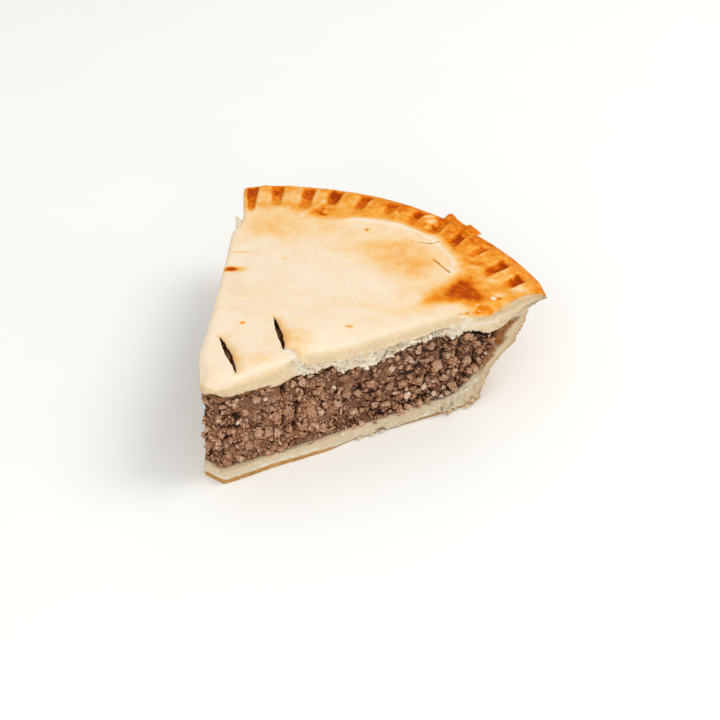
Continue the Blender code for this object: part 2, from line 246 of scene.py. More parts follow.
# Lumps of mince that stand out on the right cut: how far out, height, half width, half
# height and tint.
CHUNKS = (
    (18.9, 13.6, 1.9, 2.6, 0.62), (22.3, 12.6, 1.8, 2.5, 0.60), (25.3, 11.6, 1.4, 2.2, 0.72),
    (36.8, 15.3, 3.4, 4.4, 0.42), (31.0, 28.5, 1.6, 1.8, 0.60), (34.0, 28.3, 1.5, 2.2, 0.66),
    (40.0, 30.6, 2.4, 1.7, 0.45), (12.6, 20.3, 1.3, 1.9, 0.80), (9.9, 27.7, 1.2, 0.7, 1.00),
    (7.4, 27.6, 1.4, 1.0, 0.60), (21.6, 25.9, 0.9, 0.9, 0.95), (18.5, 26.5, 1.6, 1.6, 0.60),
    (44.4, 23.0, 0.8, 0.9, 1.00), (46.3, 20.5, 0.6, 1.0, 0.90), (46.8, 12.8, 0.5, 1.6, 0.95),
    (38.5, 9.8, 0.8, 1.6, 0.95), (39.5, 22.8, 2.2, 2.2, 0.40), (52.0, 26.0, 1.8, 1.5, 0.45),
    (51.5, 10.8, 1.8, 1.2, 0.60), (53.0, 17.5, 1.6, 1.3, 0.50), (57.5, 20.0, 1.8, 1.6, 0.45),
    (15.5, 10.5, 2.0, 2.4, 0.50), (28.6, 19.0, 1.8, 2.2, 0.42), (25.0, 17.5, 2.4, 2.5, 0.40),
    (8.5, 8.0, 1.8, 1.6, 0.55), (33.0, 22.5, 1.2, 1.4, 0.50), (64.5, 23.4, 1.5, 1.4, 0.66),
    (62.5, 10.0, 2.2, 1.6, 0.55), (69.8, 11.2, 1.5, 1.9, 0.90), (75.8, 12.8, 1.5, 1.5, 0.85),
    (79.5, 8.9, 1.1, 1.3, 0.90), (82.3, 7.2, 1.3, 0.8, 0.85), (74.0, 28.5, 1.4, 1.6, 0.60),
    (78.5, 27.8, 1.6, 2.2, 0.50), (80.5, 19.0, 2.2, 2.6, 0.55), (77.0, 22.6, 1.6, 1.2, 0.50),
    (86.0, 19.5, 2.4, 1.9, 0.55), (91.0, 18.0, 2.1, 2.2, 0.55), (86.5, 27.0, 1.8, 1.8, 0.50),
    (91.6, 27.5, 2.0, 2.6, 0.50), (83.5, 14.0, 1.9, 1.9, 0.60), (86.5, 14.8, 1.6, 1.9, 0.55),
    (92.5, 13.5, 1.6, 1.8, 0.45), (86.0, 10.2, 2.0, 2.0, 0.50), (91.0, 10.8, 1.6, 1.4, 0.40),
    (98.0, 18.9, 1.2, 0.7, 0.85), (68.2, 16.2, 2.2, 1.3, 0.40), (74.5, 15.8, 1.9, 1.4, 0.50),
    (64.0, 16.5, 1.8, 2.0, 0.45), (66.5, 27.0, 1.3, 1.4, 0.55), (61.4, 28.0, 1.0, 1.2, 0.85),
    (95.0, 23.5, 1.1, 1.2, 0.50),
)

# Gaps between the lumps on the right cut: how far out, height, half width, half height.
VOIDS = (
    (12.2, 21.9, 1.1, 0.9), (11.2, 18.2, 2.0, 0.6), (11.4, 11.9, 1.6, 0.7), (12.0, 9.2, 0.6, 0.6),
    (32.8, 19.6, 0.8, 1.0), (32.0, 17.0, 0.5, 2.4), (27.9, 28.2, 0.7, 2.8), (27.4, 16.0, 0.5, 2.2),
    (30.5, 31.0, 1.7, 0.6), (38.6, 28.5, 2.8, 0.6), (39.7, 19.5, 0.6, 0.7), (46.0, 18.9, 1.8, 0.6),
    (48.8, 27.8, 1.4, 0.5), (54.8, 26.4, 1.2, 0.7), (61.2, 25.6, 1.2, 1.4), (54.3, 19.0, 0.9, 0.9),
    (59.0, 7.8, 1.2, 0.5), (31.3, 11.5, 0.9, 1.2), (9.5, 14.8, 0.9, 0.7), (70.5, 29.8, 1.9, 0.8),
    (64.4, 28.7, 2.0, 0.6), (71.2, 18.6, 2.6, 1.0), (74.6, 20.2, 1.6, 0.7), (79.6, 24.5, 2.4, 0.8),
    (76.3, 25.5, 1.2, 0.6), (83.2, 21.6, 0.7, 1.8), (89.0, 24.3, 1.1, 1.8), (88.7, 20.8, 0.6, 1.3),
    (89.3, 14.2, 0.7, 1.0), (88.4, 9.5, 0.5, 1.6), (95.5, 27.0, 1.5, 1.1), (97.0, 22.5, 1.0, 1.4),
    (93.5, 16.2, 1.6, 0.6), (66.0, 11.2, 0.7, 0.9), (73.5, 8.9, 2.8, 0.5), (77.6, 16.3, 1.0, 0.9),
    (68.6, 25.8, 0.7, 1.0), (42.6, 12.6, 0.5, 1.4), (20.4, 21.0, 1.0, 0.5), (16.4, 16.6, 0.9, 0.5),
    (49.5, 14.2, 0.8, 0.6), (58.4, 15.2, 1.1, 0.6), (23.6, 8.2, 0.7, 0.5), (35.2, 24.3, 0.4, 1.6),
)

# Torn flakes of skin: outline in x and y from the pie's axis, the radius inside which the
# flake is still attached, its rise for each millimetre beyond, browning (or that of the
# lid below it) and flour.
FLAKES = (
    (((3.2, 119.0), (5.2, 121.2), (7.7, 120.6), (8.9, 121.8), (9.1, 125.0), (10.0, 125.8),
      (13.5, 123.7), (17.4, 122.6), (18.5, 123.5), (24.3, 121.1), (22.7, 119.3),
      (22.6, 114.6), (16.0, 114.6), (9.0, 115.4)), 118.6, 0.15, None, 0.0),
    (((46.0, 89.2), (47.2, 90.2), (48.8, 90.0), (48.9, 89.2), (47.6, 88.7)),
     100.2, 0.30, 0.0, 1.0),
    (((-49.9, 85.5), (-49.1, 85.5), (-47.9, 85.2), (-46.6, 84.4), (-44.2, 83.6), (-43.4, 82.2),
      (-44.0, 79.0), (-44.9, 79.2), (-46.1, 80.8), (-46.7, 82.0), (-47.4, 82.6),
      (-48.6, 83.6), (-47.9, 84.2)), 90.0, -0.04, 0.14, 0.9),
)


def length_setting(name, description, default, low, high):
    """A length that a user can change."""
    return FloatProperty(name=name, description=description, default=default, min=low,
                         max=high, unit="LENGTH")


def colour_setting(name, description, default):
    """A colour that a user can change."""
    return FloatVectorProperty(name=name, description=description, default=default, size=3,
                               subtype="COLOR", min=0.0, max=1.0)


class PieSizes(bpy.types.PropertyGroup):
    """Sizes that a user would change"""

    crimp_depth: length_setting(
        "Crimp depth", "How deep the bars press into the rim", 0.0011, 0.0, 0.003)
    slit_width: length_setting(
        "Slit width", "Width of the two steam slits at their middle", 0.0022, 0.0005, 0.005)
    break_drop: length_setting(
        "Break drop", "How far the lid steps down at the break", 0.0020, 0.0, 0.004)
    lump_size: length_setting(
        "Lump size", "Half width of the largest lumps of mince", 0.0016, 0.001, 0.005)
    granule_size: length_setting(
        "Granule size", "Half width of the common granules of mince", 0.0011, 0.0005, 0.003)
    crumb_size: length_setting(
        "Crumb size", "Half width of the fine crumbs of mince", 0.00062, 0.0002, 0.002)
    pastry_crumb_size: length_setting(
        "Pastry crumb size", "Half width of the crumbs on cut pastry", 0.0005, 0.0002, 0.002)
    seed: IntProperty(
        name="Seed", description="Start of everything strewn at random", default=7, min=0)


class PieColours(bpy.types.PropertyGroup):
    """Colours that a user would change"""

    pale_crust: colour_setting("Pale crust", "Barely baked top of the lid", (0.86, 0.715, 0.53))
    straw_crust: colour_setting(
        "Straw crust", "Lightly coloured places of the lid", (0.86, 0.59, 0.29))
    gold_crust: colour_setting("Golden crust", "Golden rim", (0.84, 0.375, 0.050))
    amber_crust: colour_setting(
        "Amber crust", "Deep golden places of the rim", (0.74, 0.20, 0.004))
    dark_crust: colour_setting("Dark crust", "Darkest baked bars and spots", (0.49, 0.066, 0.0))
    torn: colour_setting("Torn pastry", "Freshly torn white dough", (0.88, 0.805, 0.67))
    crumb: colour_setting("Cut pastry", "Torn or cut dough", (0.72, 0.60, 0.43))
    baked_base: colour_setting(
        "Baked base", "Browned skin of the base and wall", (0.50, 0.27, 0.085))
    stain: colour_setting("Juice stain", "Pastry soaked with meat juice", (0.26, 0.085, 0.014))
    meat: colour_setting("Meat", "Cooked mince", (0.585, 0.308, 0.172))
    pale_meat: colour_setting("Pale meat", "Palest granules of mince", (0.76, 0.56, 0.41))
    # The colour of the painted shade in the deepest crevices of the mince.
    meat_shade: colour_setting(
        "Dark meat", "Juice in the crevices of the mince", (0.028, 0.008, 0.002))
    gravy: colour_setting("Gravy", "Set juice between the lid and the mince", (0.33, 0.115, 0.014))
    cut_base: colour_setting("Cut base", "Cut face of the bottom crust", (0.60, 0.51, 0.37))
    floor: colour_setting("Floor", "Plain floor of the stage", (0.93, 0.93, 0.91))


# ---- shapes shared by the pieces ----

def unit(value):
    """The value kept between 0 and 1."""
    return np.clip(value, 0.0, 1.0)


def ease(value):
    """Smooth step from 0 to 1 as value goes from 0 to 1."""
    value = unit(value)
    return value * value * (3.0 - 2.0 * value)


def climb(value, start, end):
    """Smooth step from 0 at the start to 1 at the end, which may be the lower of the two."""
    return ease((value - start) / (end - start))


def rim_radius(angle):
    """Outer radius of the rim, which bulges at the slice's middle."""
    bulge = RIM_BULGE * np.cos(np.radians(90.0 * angle / HALF_ANGLE))
    bulge *= (1.0 - RIM_SKEW * angle / HALF_ANGLE)
    return CUT_RADIUS + RIM_LEAN * angle / HALF_ANGLE + bulge


def side(angle):
    """Distance sideways of the rim's corner at this angle from the slice's middle line."""
    return rim_radius(angle) * math.sin(math.radians(angle))


LID_LOW, LID_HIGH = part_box("lid_crust")
AXIS_X = (LID_LOW[0] + LID_HIGH[0]) / 2 / MM - (side(HALF_ANGLE) + side(-HALF_ANGLE)) / 2
AXIS_Y = LID_HIGH[1] / MM - rim_radius(0.0)


def place(radius, angle, height):
    """Points of the slice, in millimetres, as an array whose last side is x, y, z."""
    turn = np.radians(angle)
    near_point = ease(1.0 - radius / NOMINAL_RADIUS)
    across = AXIS_X + radius * np.sin(turn)
    across += LEFT_SPREAD * near_point * np.minimum(angle, 0.0) / HALF_ANGLE
    along = AXIS_Y + radius * np.cos(turn)
    return np.stack(np.broadcast_arrays(across, along, height), axis=-1)


def spread(nominal, angle, tip):
    """Radius at this angle of a place drawn at the nominal radius."""
    share = ease((nominal - tip) / (NOMINAL_RADIUS - tip) * 1.6)
    blunt = nominal / np.cos(np.radians(angle))
    return (1.0 - share) * blunt + share * nominal * rim_radius(angle) / NOMINAL_RADIUS


def smooth_through(knots, values, at):
    """Smooth curve through the values at the knots."""
    knots = np.asarray(knots, float)
    values = np.asarray(values, float)
    at = np.asarray(at, float)
    steps = np.diff(values) / np.diff(knots)
    slopes = np.concatenate([[steps[0]], (steps[1:] + steps[:-1]) / 2, [steps[-1]]])
    slot = np.clip(np.searchsorted(knots, at) - 1, 0, len(knots) - 2)
    width = knots[slot + 1] - knots[slot]
    t = unit((at - knots[slot]) / width)
    return ((2 * t ** 3 - 3 * t ** 2 + 1) * values[slot]
            + (t ** 3 - 2 * t ** 2 + t) * width * slopes[slot]
            + (3 * t ** 2 - 2 * t ** 3) * values[slot + 1]
            + (t ** 3 - t ** 2) * width * slopes[slot + 1])


def rough(points, size, seed=0):
    """Smooth noise from about -1 to 1 at each point, with features of this size."""
    flat = np.asarray(points, float).reshape(-1, 3) / size + seed * 17.31
    values = np.array([noise.noise(spot) for spot in flat.tolist()])
    return values.reshape(np.shape(points)[:-1])


def cells(points, size, seed=0):
    """For each point, how far it is from the border of its cell, and a number for its cell."""
    flat = np.asarray(points, float).reshape(-1, 3) / size + seed * 9.73
    gaps = np.empty(len(flat))
    marks = np.empty(len(flat))
    for number, spot in enumerate(flat.tolist()):
        distances, centres = noise.voronoi(spot)
        gaps[number] = distances[1] - distances[0]
        marks[number] = noise.cell(centres[0] * 3.7)
    shape = np.shape(points)[:-1]
    return gaps.reshape(shape), marks.reshape(shape)


def knobs(points, size, seed=0):
    """Rounded knobs with creases between them, from about -0.5 to 1."""
    return 2.6 * np.abs(rough(points, size, seed)) - 0.5


def shaken(points, size, far, seed=0):
    """The points moved about by smooth noise."""
    moved = [rough(points, size, seed + n) for n in range(3)]
    return points + far * np.stack(moved, axis=-1)


def bell(value, width):
    """Soft bump that is 1 at 0."""
    return np.exp(-(value / width) ** 2)


def line_distance(x, y, points):
    """Distance from each place to a run of straight pieces."""
    nearest = np.full(np.shape(x), 1e9)
    for (ax, ay), (bx, by) in zip(points[:-1], points[1:]):
        run = (bx - ax) ** 2 + (by - ay) ** 2
        t = unit(((x - ax) * (bx - ax) + (y - ay) * (by - ay)) / run)
        nearest = np.minimum(nearest, np.hypot(x - ax - t * (bx - ax), y - ay - t * (by - ay)))
    return nearest


def inside_distance(x, y, outline):
    """Distance to an outline, positive inside it."""
    within = np.zeros(np.shape(x), bool)
    closed = list(outline) + [outline[0]]
    for (ax, ay), (bx, by) in zip(closed[:-1], closed[1:]):
        crosses = (ay > y) != (by > y)
        slope = (bx - ax) / (by - ay) if by != ay else 0.0
        within ^= crosses & (x < ax + (y - ay) * slope)
    gap = line_distance(x, y, closed)
    return np.where(within, gap, -gap)


def run_lengths(points):
    """Distance along a run of points, at each of them."""
    steps = np.diff([point[:2] for point in points], axis=0)
    return np.concatenate([[0.0], np.cumsum(np.hypot(*steps.T))])


def cut_distance(nominal, angle):
    """Distance of a place from the right cut, or from the left one at the angle's negative."""
    return nominal * np.sin(np.radians(HALF_ANGLE - angle))


def along_table(table, at):
    """Straight-line readings of a table of pairs."""
    return np.interp(at, *zip(*table))


def flat_place(points):
    """x and y of points from the pie's axis."""
    return points[..., 0] - AXIS_X, points[..., 1] - AXIS_Y


# ---- meshes ----

def link(name, mesh):
    """New object with this mesh, in the scene."""
    thing = bpy.data.objects.new(name, mesh)
    bpy.context.scene.collection.objects.link(thing)
    return thing


def mesh_from(name, points, faces, smooth=True):
    """Mesh from points in millimetres."""
    mesh = bpy.data.meshes.new(name)
    mesh.from_pydata((np.asarray(points) * MM).tolist(), [], faces)
    mesh.polygons.foreach_set("use_smooth", [smooth] * len(mesh.polygons))
    mesh.update()
    return mesh


def mesh_of(name, data):
    """Mesh from bmesh data, which is freed."""
    mesh = bpy.data.meshes.new(name)
    data.to_mesh(mesh)
    data.free()
    return mesh


def evaluated_mesh(thing):
    """New mesh from an object as its modifiers make it."""
    graph = bpy.context.evaluated_depsgraph_get()
    return bpy.data.meshes.new_from_object(thing.evaluated_get(graph), depsgraph=graph,
                                           preserve_all_data_layers=True)


def store(mesh, **values):
    """Writes named numbers onto the mesh's points."""
    for name, numbers in values.items():
        layer = mesh.attributes.get(name)
        if layer is None:
            layer = mesh.attributes.new(name, "FLOAT", "POINT")
        layer.data.foreach_set("value", np.asarray(numbers, np.float32).ravel())


class Shell:
    """Closed skin over a block of cells: a top, an underside and the walls between.

    The top and underside may be coarser than the walls. Points and numbers are handed
    over as grids for the top and underside, and as columns for the walls.
    """

    def __init__(self, across, along, thick, coarse_top=1, coarse_under=2):
        self.thick = thick
        ring = [(i, 0) for i in range(across)]
        ring += [(across, j) for j in range(along)]
        ring += [(i, along) for i in range(across, 0, -1)]
        ring += [(0, j) for j in range(along, 0, -1)]
        self.ring = ring
        self.ring_i = np.array([spot[0] for spot in ring])
        self.ring_j = np.array([spot[1] for spot in ring])
        count = len(ring)
        column = {spot: number for number, spot in enumerate(ring)}
        rows = thick + 1
        self.faces = []
        for p in range(count):
            q = (p + 1) % count
            for k in range(thick):
                self.faces.append((p * rows + k, q * rows + k,
                                   q * rows + k + 1, p * rows + k + 1))
        total = count * rows
        self.inner = []
        for level, step in ((thick, coarse_top), (0, coarse_under)):
            grid = [(i, j) for i in range(step, across, step) for j in range(step, along, step)]
            index = {spot: total + number for number, spot in enumerate(grid)}
            total += len(grid)
            self.inner.append((np.array([s[0] for s in grid]), np.array([s[1] for s in grid])))
            for i in range(0, across, step):
                for j in range(0, along, step):
                    far_i, far_j = i + step, j + step
                    corners = ((i, j), (far_i, j), (far_i, far_j), (i, far_j))
                    borders = (j == 0, far_i == across, far_j == along, i == 0)
                    loop = []
                    for n, border in enumerate(borders):
                        (x, y), (to_x, to_y) = corners[n], corners[(n + 1) % 4]
                        for k in range(step if border else 1):
                            spot = (x + (to_x - x) * k // step, y + (to_y - y) * k // step)
                            loop.append(column[spot] * rows + level if spot in column
                                        else index[spot])
                    self.faces.append(loop if level else loop[::-1])

    def join(self, top, under, walls):
        """One array in the mesh's order of points."""
        walls = np.array(walls, float)
        flat = walls.reshape((-1,) + walls.shape[2:])
        parts = [flat]
        for grid, (i, j) in zip((top, under), self.inner):
            parts.append(np.asarray(grid, float)[i, j])
        return np.concatenate(parts)

    def edge(self, grid):
        """The grid's numbers round its border."""
        return np.asarray(grid)[self.ring_i, self.ring_j]

    def wide(self, grid):
        """The grid's numbers round its border, repeated up the walls."""
        return self.edge(grid)[:, None] + np.zeros((1, self.thick + 1))

    def columns(self, top, under):
        """Straight walls between the borders of two grids."""
        low = self.edge(under)
        high = self.edge(top)
        share = np.linspace(0.0, 1.0, self.thick + 1)
        if low.ndim == 1:
            return low[:, None] + (high - low)[:, None] * share[None, :]
        return low[:, None, :] + (high - low)[:, None, :] * share[None, :, None]


def wall_frame(shell, angles):
    """For each point of the walls: its face and its share of the height, and the columns' ways out.

    The faces are 0 for the blunt point, 1 for the right cut, 2 for the rim and 3 for
    the left cut.
    """
    across = len(angles) - 1
    last = shell.ring_j.max()
    which = np.where(shell.ring_j == last, 2, 0)
    which = np.where(shell.ring_i == across, 1, np.where(shell.ring_i == 0, 3, which))
    turn = np.radians(angles[shell.ring_i])
    out = np.zeros((len(shell.ring), 3))
    out[which == 0] = (0.0, -1.0, 0.0)
    out[which == 1] = RIGHT_WAY
    out[which == 3] = LEFT_WAY
    rim = which == 2
    out[rim, 0] = np.sin(turn)[rim]
    out[rim, 1] = np.cos(turn)[rim]
    share = np.linspace(0.0, 1.0, shell.thick + 1) + np.zeros((len(which), 1))
    face = which[:, None] + np.zeros_like(share, int)
    return face, share, out


def columns_across(count):
    """Angles of a piece's columns, closer together by the cuts."""
    share = np.linspace(-1.0, 1.0, count + 1)
    return HALF_ANGLE * (0.75 * share + 0.25 * np.sin(share * math.pi / 2))


def finish_piece(thing, slot, *nodes):
    """Keeps a piece above the floor, hangs it on the root body and hides the nodes it stands for;
    its slot is not used.
    """
    spots = points_of(thing.data)
    spots[:, 2] = np.maximum(spots[:, 2], 0.0)
    move_points(thing.data, spots)
    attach(thing, "root")
    if nodes:
        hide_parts(*nodes)


# ---- materials ----

def shown(sockets, name=None):
    """The first socket in use, of this name if one is given."""
    return next(s for s in sockets if s.enabled and name in (None, s.name))


def feed(socket, value):
    """Sets an input, or links a socket to it."""
    if isinstance(value, bpy.types.NodeSocket):
        socket.id_data.links.new(value, socket)
    elif socket.type == "RGBA":
        socket.default_value = (*value[:3], 1.0)
    else:
        socket.default_value = value


def add_node(tree, kind, inputs, **settings):
    """New node, with its settings made before its inputs are set or linked."""
    made = tree.nodes.new(kind)
    for name, value in settings.items():
        setattr(made, name, value)
    for name, value in inputs.items():
        feed(made.inputs[name], value)
    return made


SHADER_INPUTS = {"roughness": "Roughness", "specular": "Specular IOR Level",
                 "normal": "Normal"}


class Finish:
    """A material under construction."""

    def __init__(self, name, roughness=0.6):
        self.material = bpy.data.materials.new(name)
        self.material.use_nodes = True
        self.tree = self.material.node_tree
        self.shader = self.tree.nodes["Principled BSDF"]
        self.shader.inputs["Roughness"].default_value = roughness
        self.place = self.tree.nodes.new("ShaderNodeTexCoord").outputs["Object"]

    def node(self, kind, inputs, **settings):
        """New node of this material."""
        return add_node(self.tree, kind, inputs, **settings)

    def number(self, name):
        """A number stored on the mesh."""
        return self.node("ShaderNodeAttribute", {}, attribute_name=name).outputs["Fac"]

    def math(self, operation, first, second=0.0, clamp=False):
        """One sum."""
        return self.node("ShaderNodeMath", {0: first, 1: second}, operation=operation,
                         use_clamp=clamp).outputs[0]

    def noise(self, size, detail=3.0, rough_share=0.55):
        """Noise with features of this size in metres."""
        return self.node("ShaderNodeTexNoise", {
            "Vector": self.place, "Scale": 1.0 / size, "Detail": detail,
            "Roughness": rough_share}).outputs["Fac"]

    def knobs(self, size, shake=0.35):
        """Distance from the middle of small knobs of this size, 0 to about 1."""
        drift = self.node("ShaderNodeTexNoise", {
            "Vector": self.place, "Scale": 0.6 / size, "Detail": 2.0}).outputs["Color"]
        offset = self.node("ShaderNodeVectorMath", {0: drift, "Scale": size * shake * 3.0},
                           operation="SCALE").outputs[0]
        moved = self.node("ShaderNodeVectorMath", {0: self.place, 1: offset}).outputs[0]
        return self.node("ShaderNodeTexVoronoi", {
            "Vector": moved, "Scale": 1.0 / size}).outputs["Distance"]

    def spread(self, value, low, high, to_low=0.0, to_high=1.0):
        """Stretches a number from one span to another."""
        numbers = dict(enumerate((value, low, high, to_low, to_high)))
        return self.node("ShaderNodeMapRange", numbers).outputs["Result"]

    def ramp(self, value, stops):
        """Colour ramp."""
        made = self.node("ShaderNodeValToRGB", {"Fac": value})
        ramp = made.color_ramp
        while len(ramp.elements) < len(stops):
            ramp.elements.new(0.5)
        for element, (spot, colour) in zip(ramp.elements, stops):
            element.position = spot
            element.color = (*colour[:3], 1.0)
        return made.outputs["Color"]

    def mix(self, share, first, second, blend="MIX"):
        """Mixes two colours."""
        made = self.node("ShaderNodeMix", {}, data_type="RGBA", blend_type=blend)
        for name, value in (("Factor", share), ("A", first), ("B", second)):
            feed(shown(made.inputs, name), value)
        return shown(made.outputs)

    def bump(self, height, strength, distance, under=None):
        """Bump, in metres."""
        inputs = {"Height": height, "Strength": strength, "Distance": distance}
        if under is not None:
            inputs["Normal"] = under
        return self.node("ShaderNodeBump", inputs).outputs["Normal"]

    def finished(self, colour, **inputs):
        """The material, with these inputs of its shader set or linked."""
        feed(self.shader.inputs["Base Color"], colour)
        for name, value in inputs.items():
            feed(self.shader.inputs[SHADER_INPUTS[name]], value)
        return self.material


def scaled(colour, factor):
    """A colour made darker or lighter."""
    return tuple(min(1.0, channel * factor) for channel in colour)


def between(first, second, share):
    """A colour between two."""
    return tuple(a + (b - a) * share for a, b in zip(first, second))


def pastry_finish(name, colours, stops, cut=None):
    """Baked pastry: browned skin, cut dough where `flour` says and juice where `stain` says."""
    look = Finish(name)
    baked = look.number("bake")
    broad = look.spread(look.noise(0.007, 5.0), 0.3, 0.7, -0.05, 0.05)
    fine = look.spread(look.noise(0.0016, 4.0, 0.65), 0.3, 0.7, -0.035, 0.035)
    blotch = look.math("MULTIPLY", baked,
                       look.spread(look.noise(0.0032, 4.0, 0.6), 0.3, 0.7, -0.13, 0.13))
    browned = look.math("ADD", look.math("ADD", baked, broad), fine)
    browned = look.math("ADD", browned, blotch, clamp=True)
    skin = look.ramp(browned, stops)
    rosy = look.spread(look.noise(0.0045, 3.0), 0.4, 0.65)
    skin = look.mix(rosy, skin, (1.0, 0.975, 0.99), "MULTIPLY")
    grain = look.math("ADD", look.spread(look.noise(0.0011, 4.0, 0.65), 0.3, 0.7, -0.075, 0.085),
                      look.spread(look.noise(0.0036, 3.0), 0.35, 0.65, -0.04, 0.04))
    cut = tuple(cut or colours.crumb)
    crumb = look.ramp(look.math("ADD", baked, grain, clamp=True), (
        (0.0, between(cut, colours.torn, 0.9)), (0.10, scaled(cut, 1.12)),
        (0.24, scaled(between(cut, colours.straw_crust, 0.35), 1.03)),
        # This dimmer stop, which the lid's smooth shoulder reaches, is partly painted shade.
        (0.38, scaled(between(cut, colours.straw_crust, 0.30), 0.90)),
        (0.60, scaled(between(cut, colours.gold_crust, 0.5), 0.85))))
    flour = look.number("flour")
    colour = look.mix(flour, skin, crumb)
    stain_share = look.math("MULTIPLY", look.number("stain"),
                            look.spread(look.noise(0.0022, 4.0), 0.3, 0.6, 0.75, 1.0))
    colour = look.mix(stain_share, colour, tuple(colours.stain))
    rough_skin = look.spread(look.noise(0.004), 0.3, 0.7, 0.50, 0.62)
    soft = look.bump(look.noise(0.0032, 4.0), 0.35, 0.0008)
    depth = look.spread(flour, 0.0, 1.0, 0.25, 0.85)
    gritty = look.bump(look.noise(0.0009, 4.0, 0.7), depth, 0.0005, soft)
    return look.finished(colour, roughness=look.mix(flour, rough_skin, (0.9, 0.9, 0.9)),
                         specular=0.035, normal=gritty)


def lid_stops(colours):
    """Colours of the lid's skin, from palest to darkest."""
    return (
        (0.0, scaled(colours.pale_crust, 1.03)), (0.10, tuple(colours.pale_crust)),
        (0.26, tuple(colours.straw_crust)), (0.50, tuple(colours.gold_crust)),
        (0.68, tuple(colours.amber_crust)), (0.88, tuple(colours.dark_crust)),
        (1.0, scaled(colours.dark_crust, 0.72)),
    )


# ---- lid crust ----

def break_line(angle, points):
    """Radius of the break at this angle."""
    line = np.interp(angle, (15.0, 21.0, 30.0), (30.4, 30.6, 32.6))
    return line + 0.5 * rough(points, 1.6, 3) + 0.25 * rough(points, 0.7, 4)


def break_step(nominal, angle):
    """Share of the full step down at the break."""
    fade = ease((BREAK_LEVEL - nominal) / (BREAK_LEVEL - BREAK_AT) * 1.5)
    return climb(angle, BREAK_START, HALF_ANGLE) * fade


def slit_places(x, y, slit, half_width):
    """Share along a slit, and distance out from its right and left lip."""
    (ax, ay), (bx, by) = slit
    length = math.hypot(bx - ax, by - ay)
    way_x = (bx - ax) / length
    way_y = (by - ay) / length
    along = ((x - ax) * way_x + (y - ay) * way_y) / length
    off = -(x - ax) * way_y + (y - ay) * way_x
    lip = half_width * np.sin(math.pi * unit(along))
    return along, off - lip, -off - lip


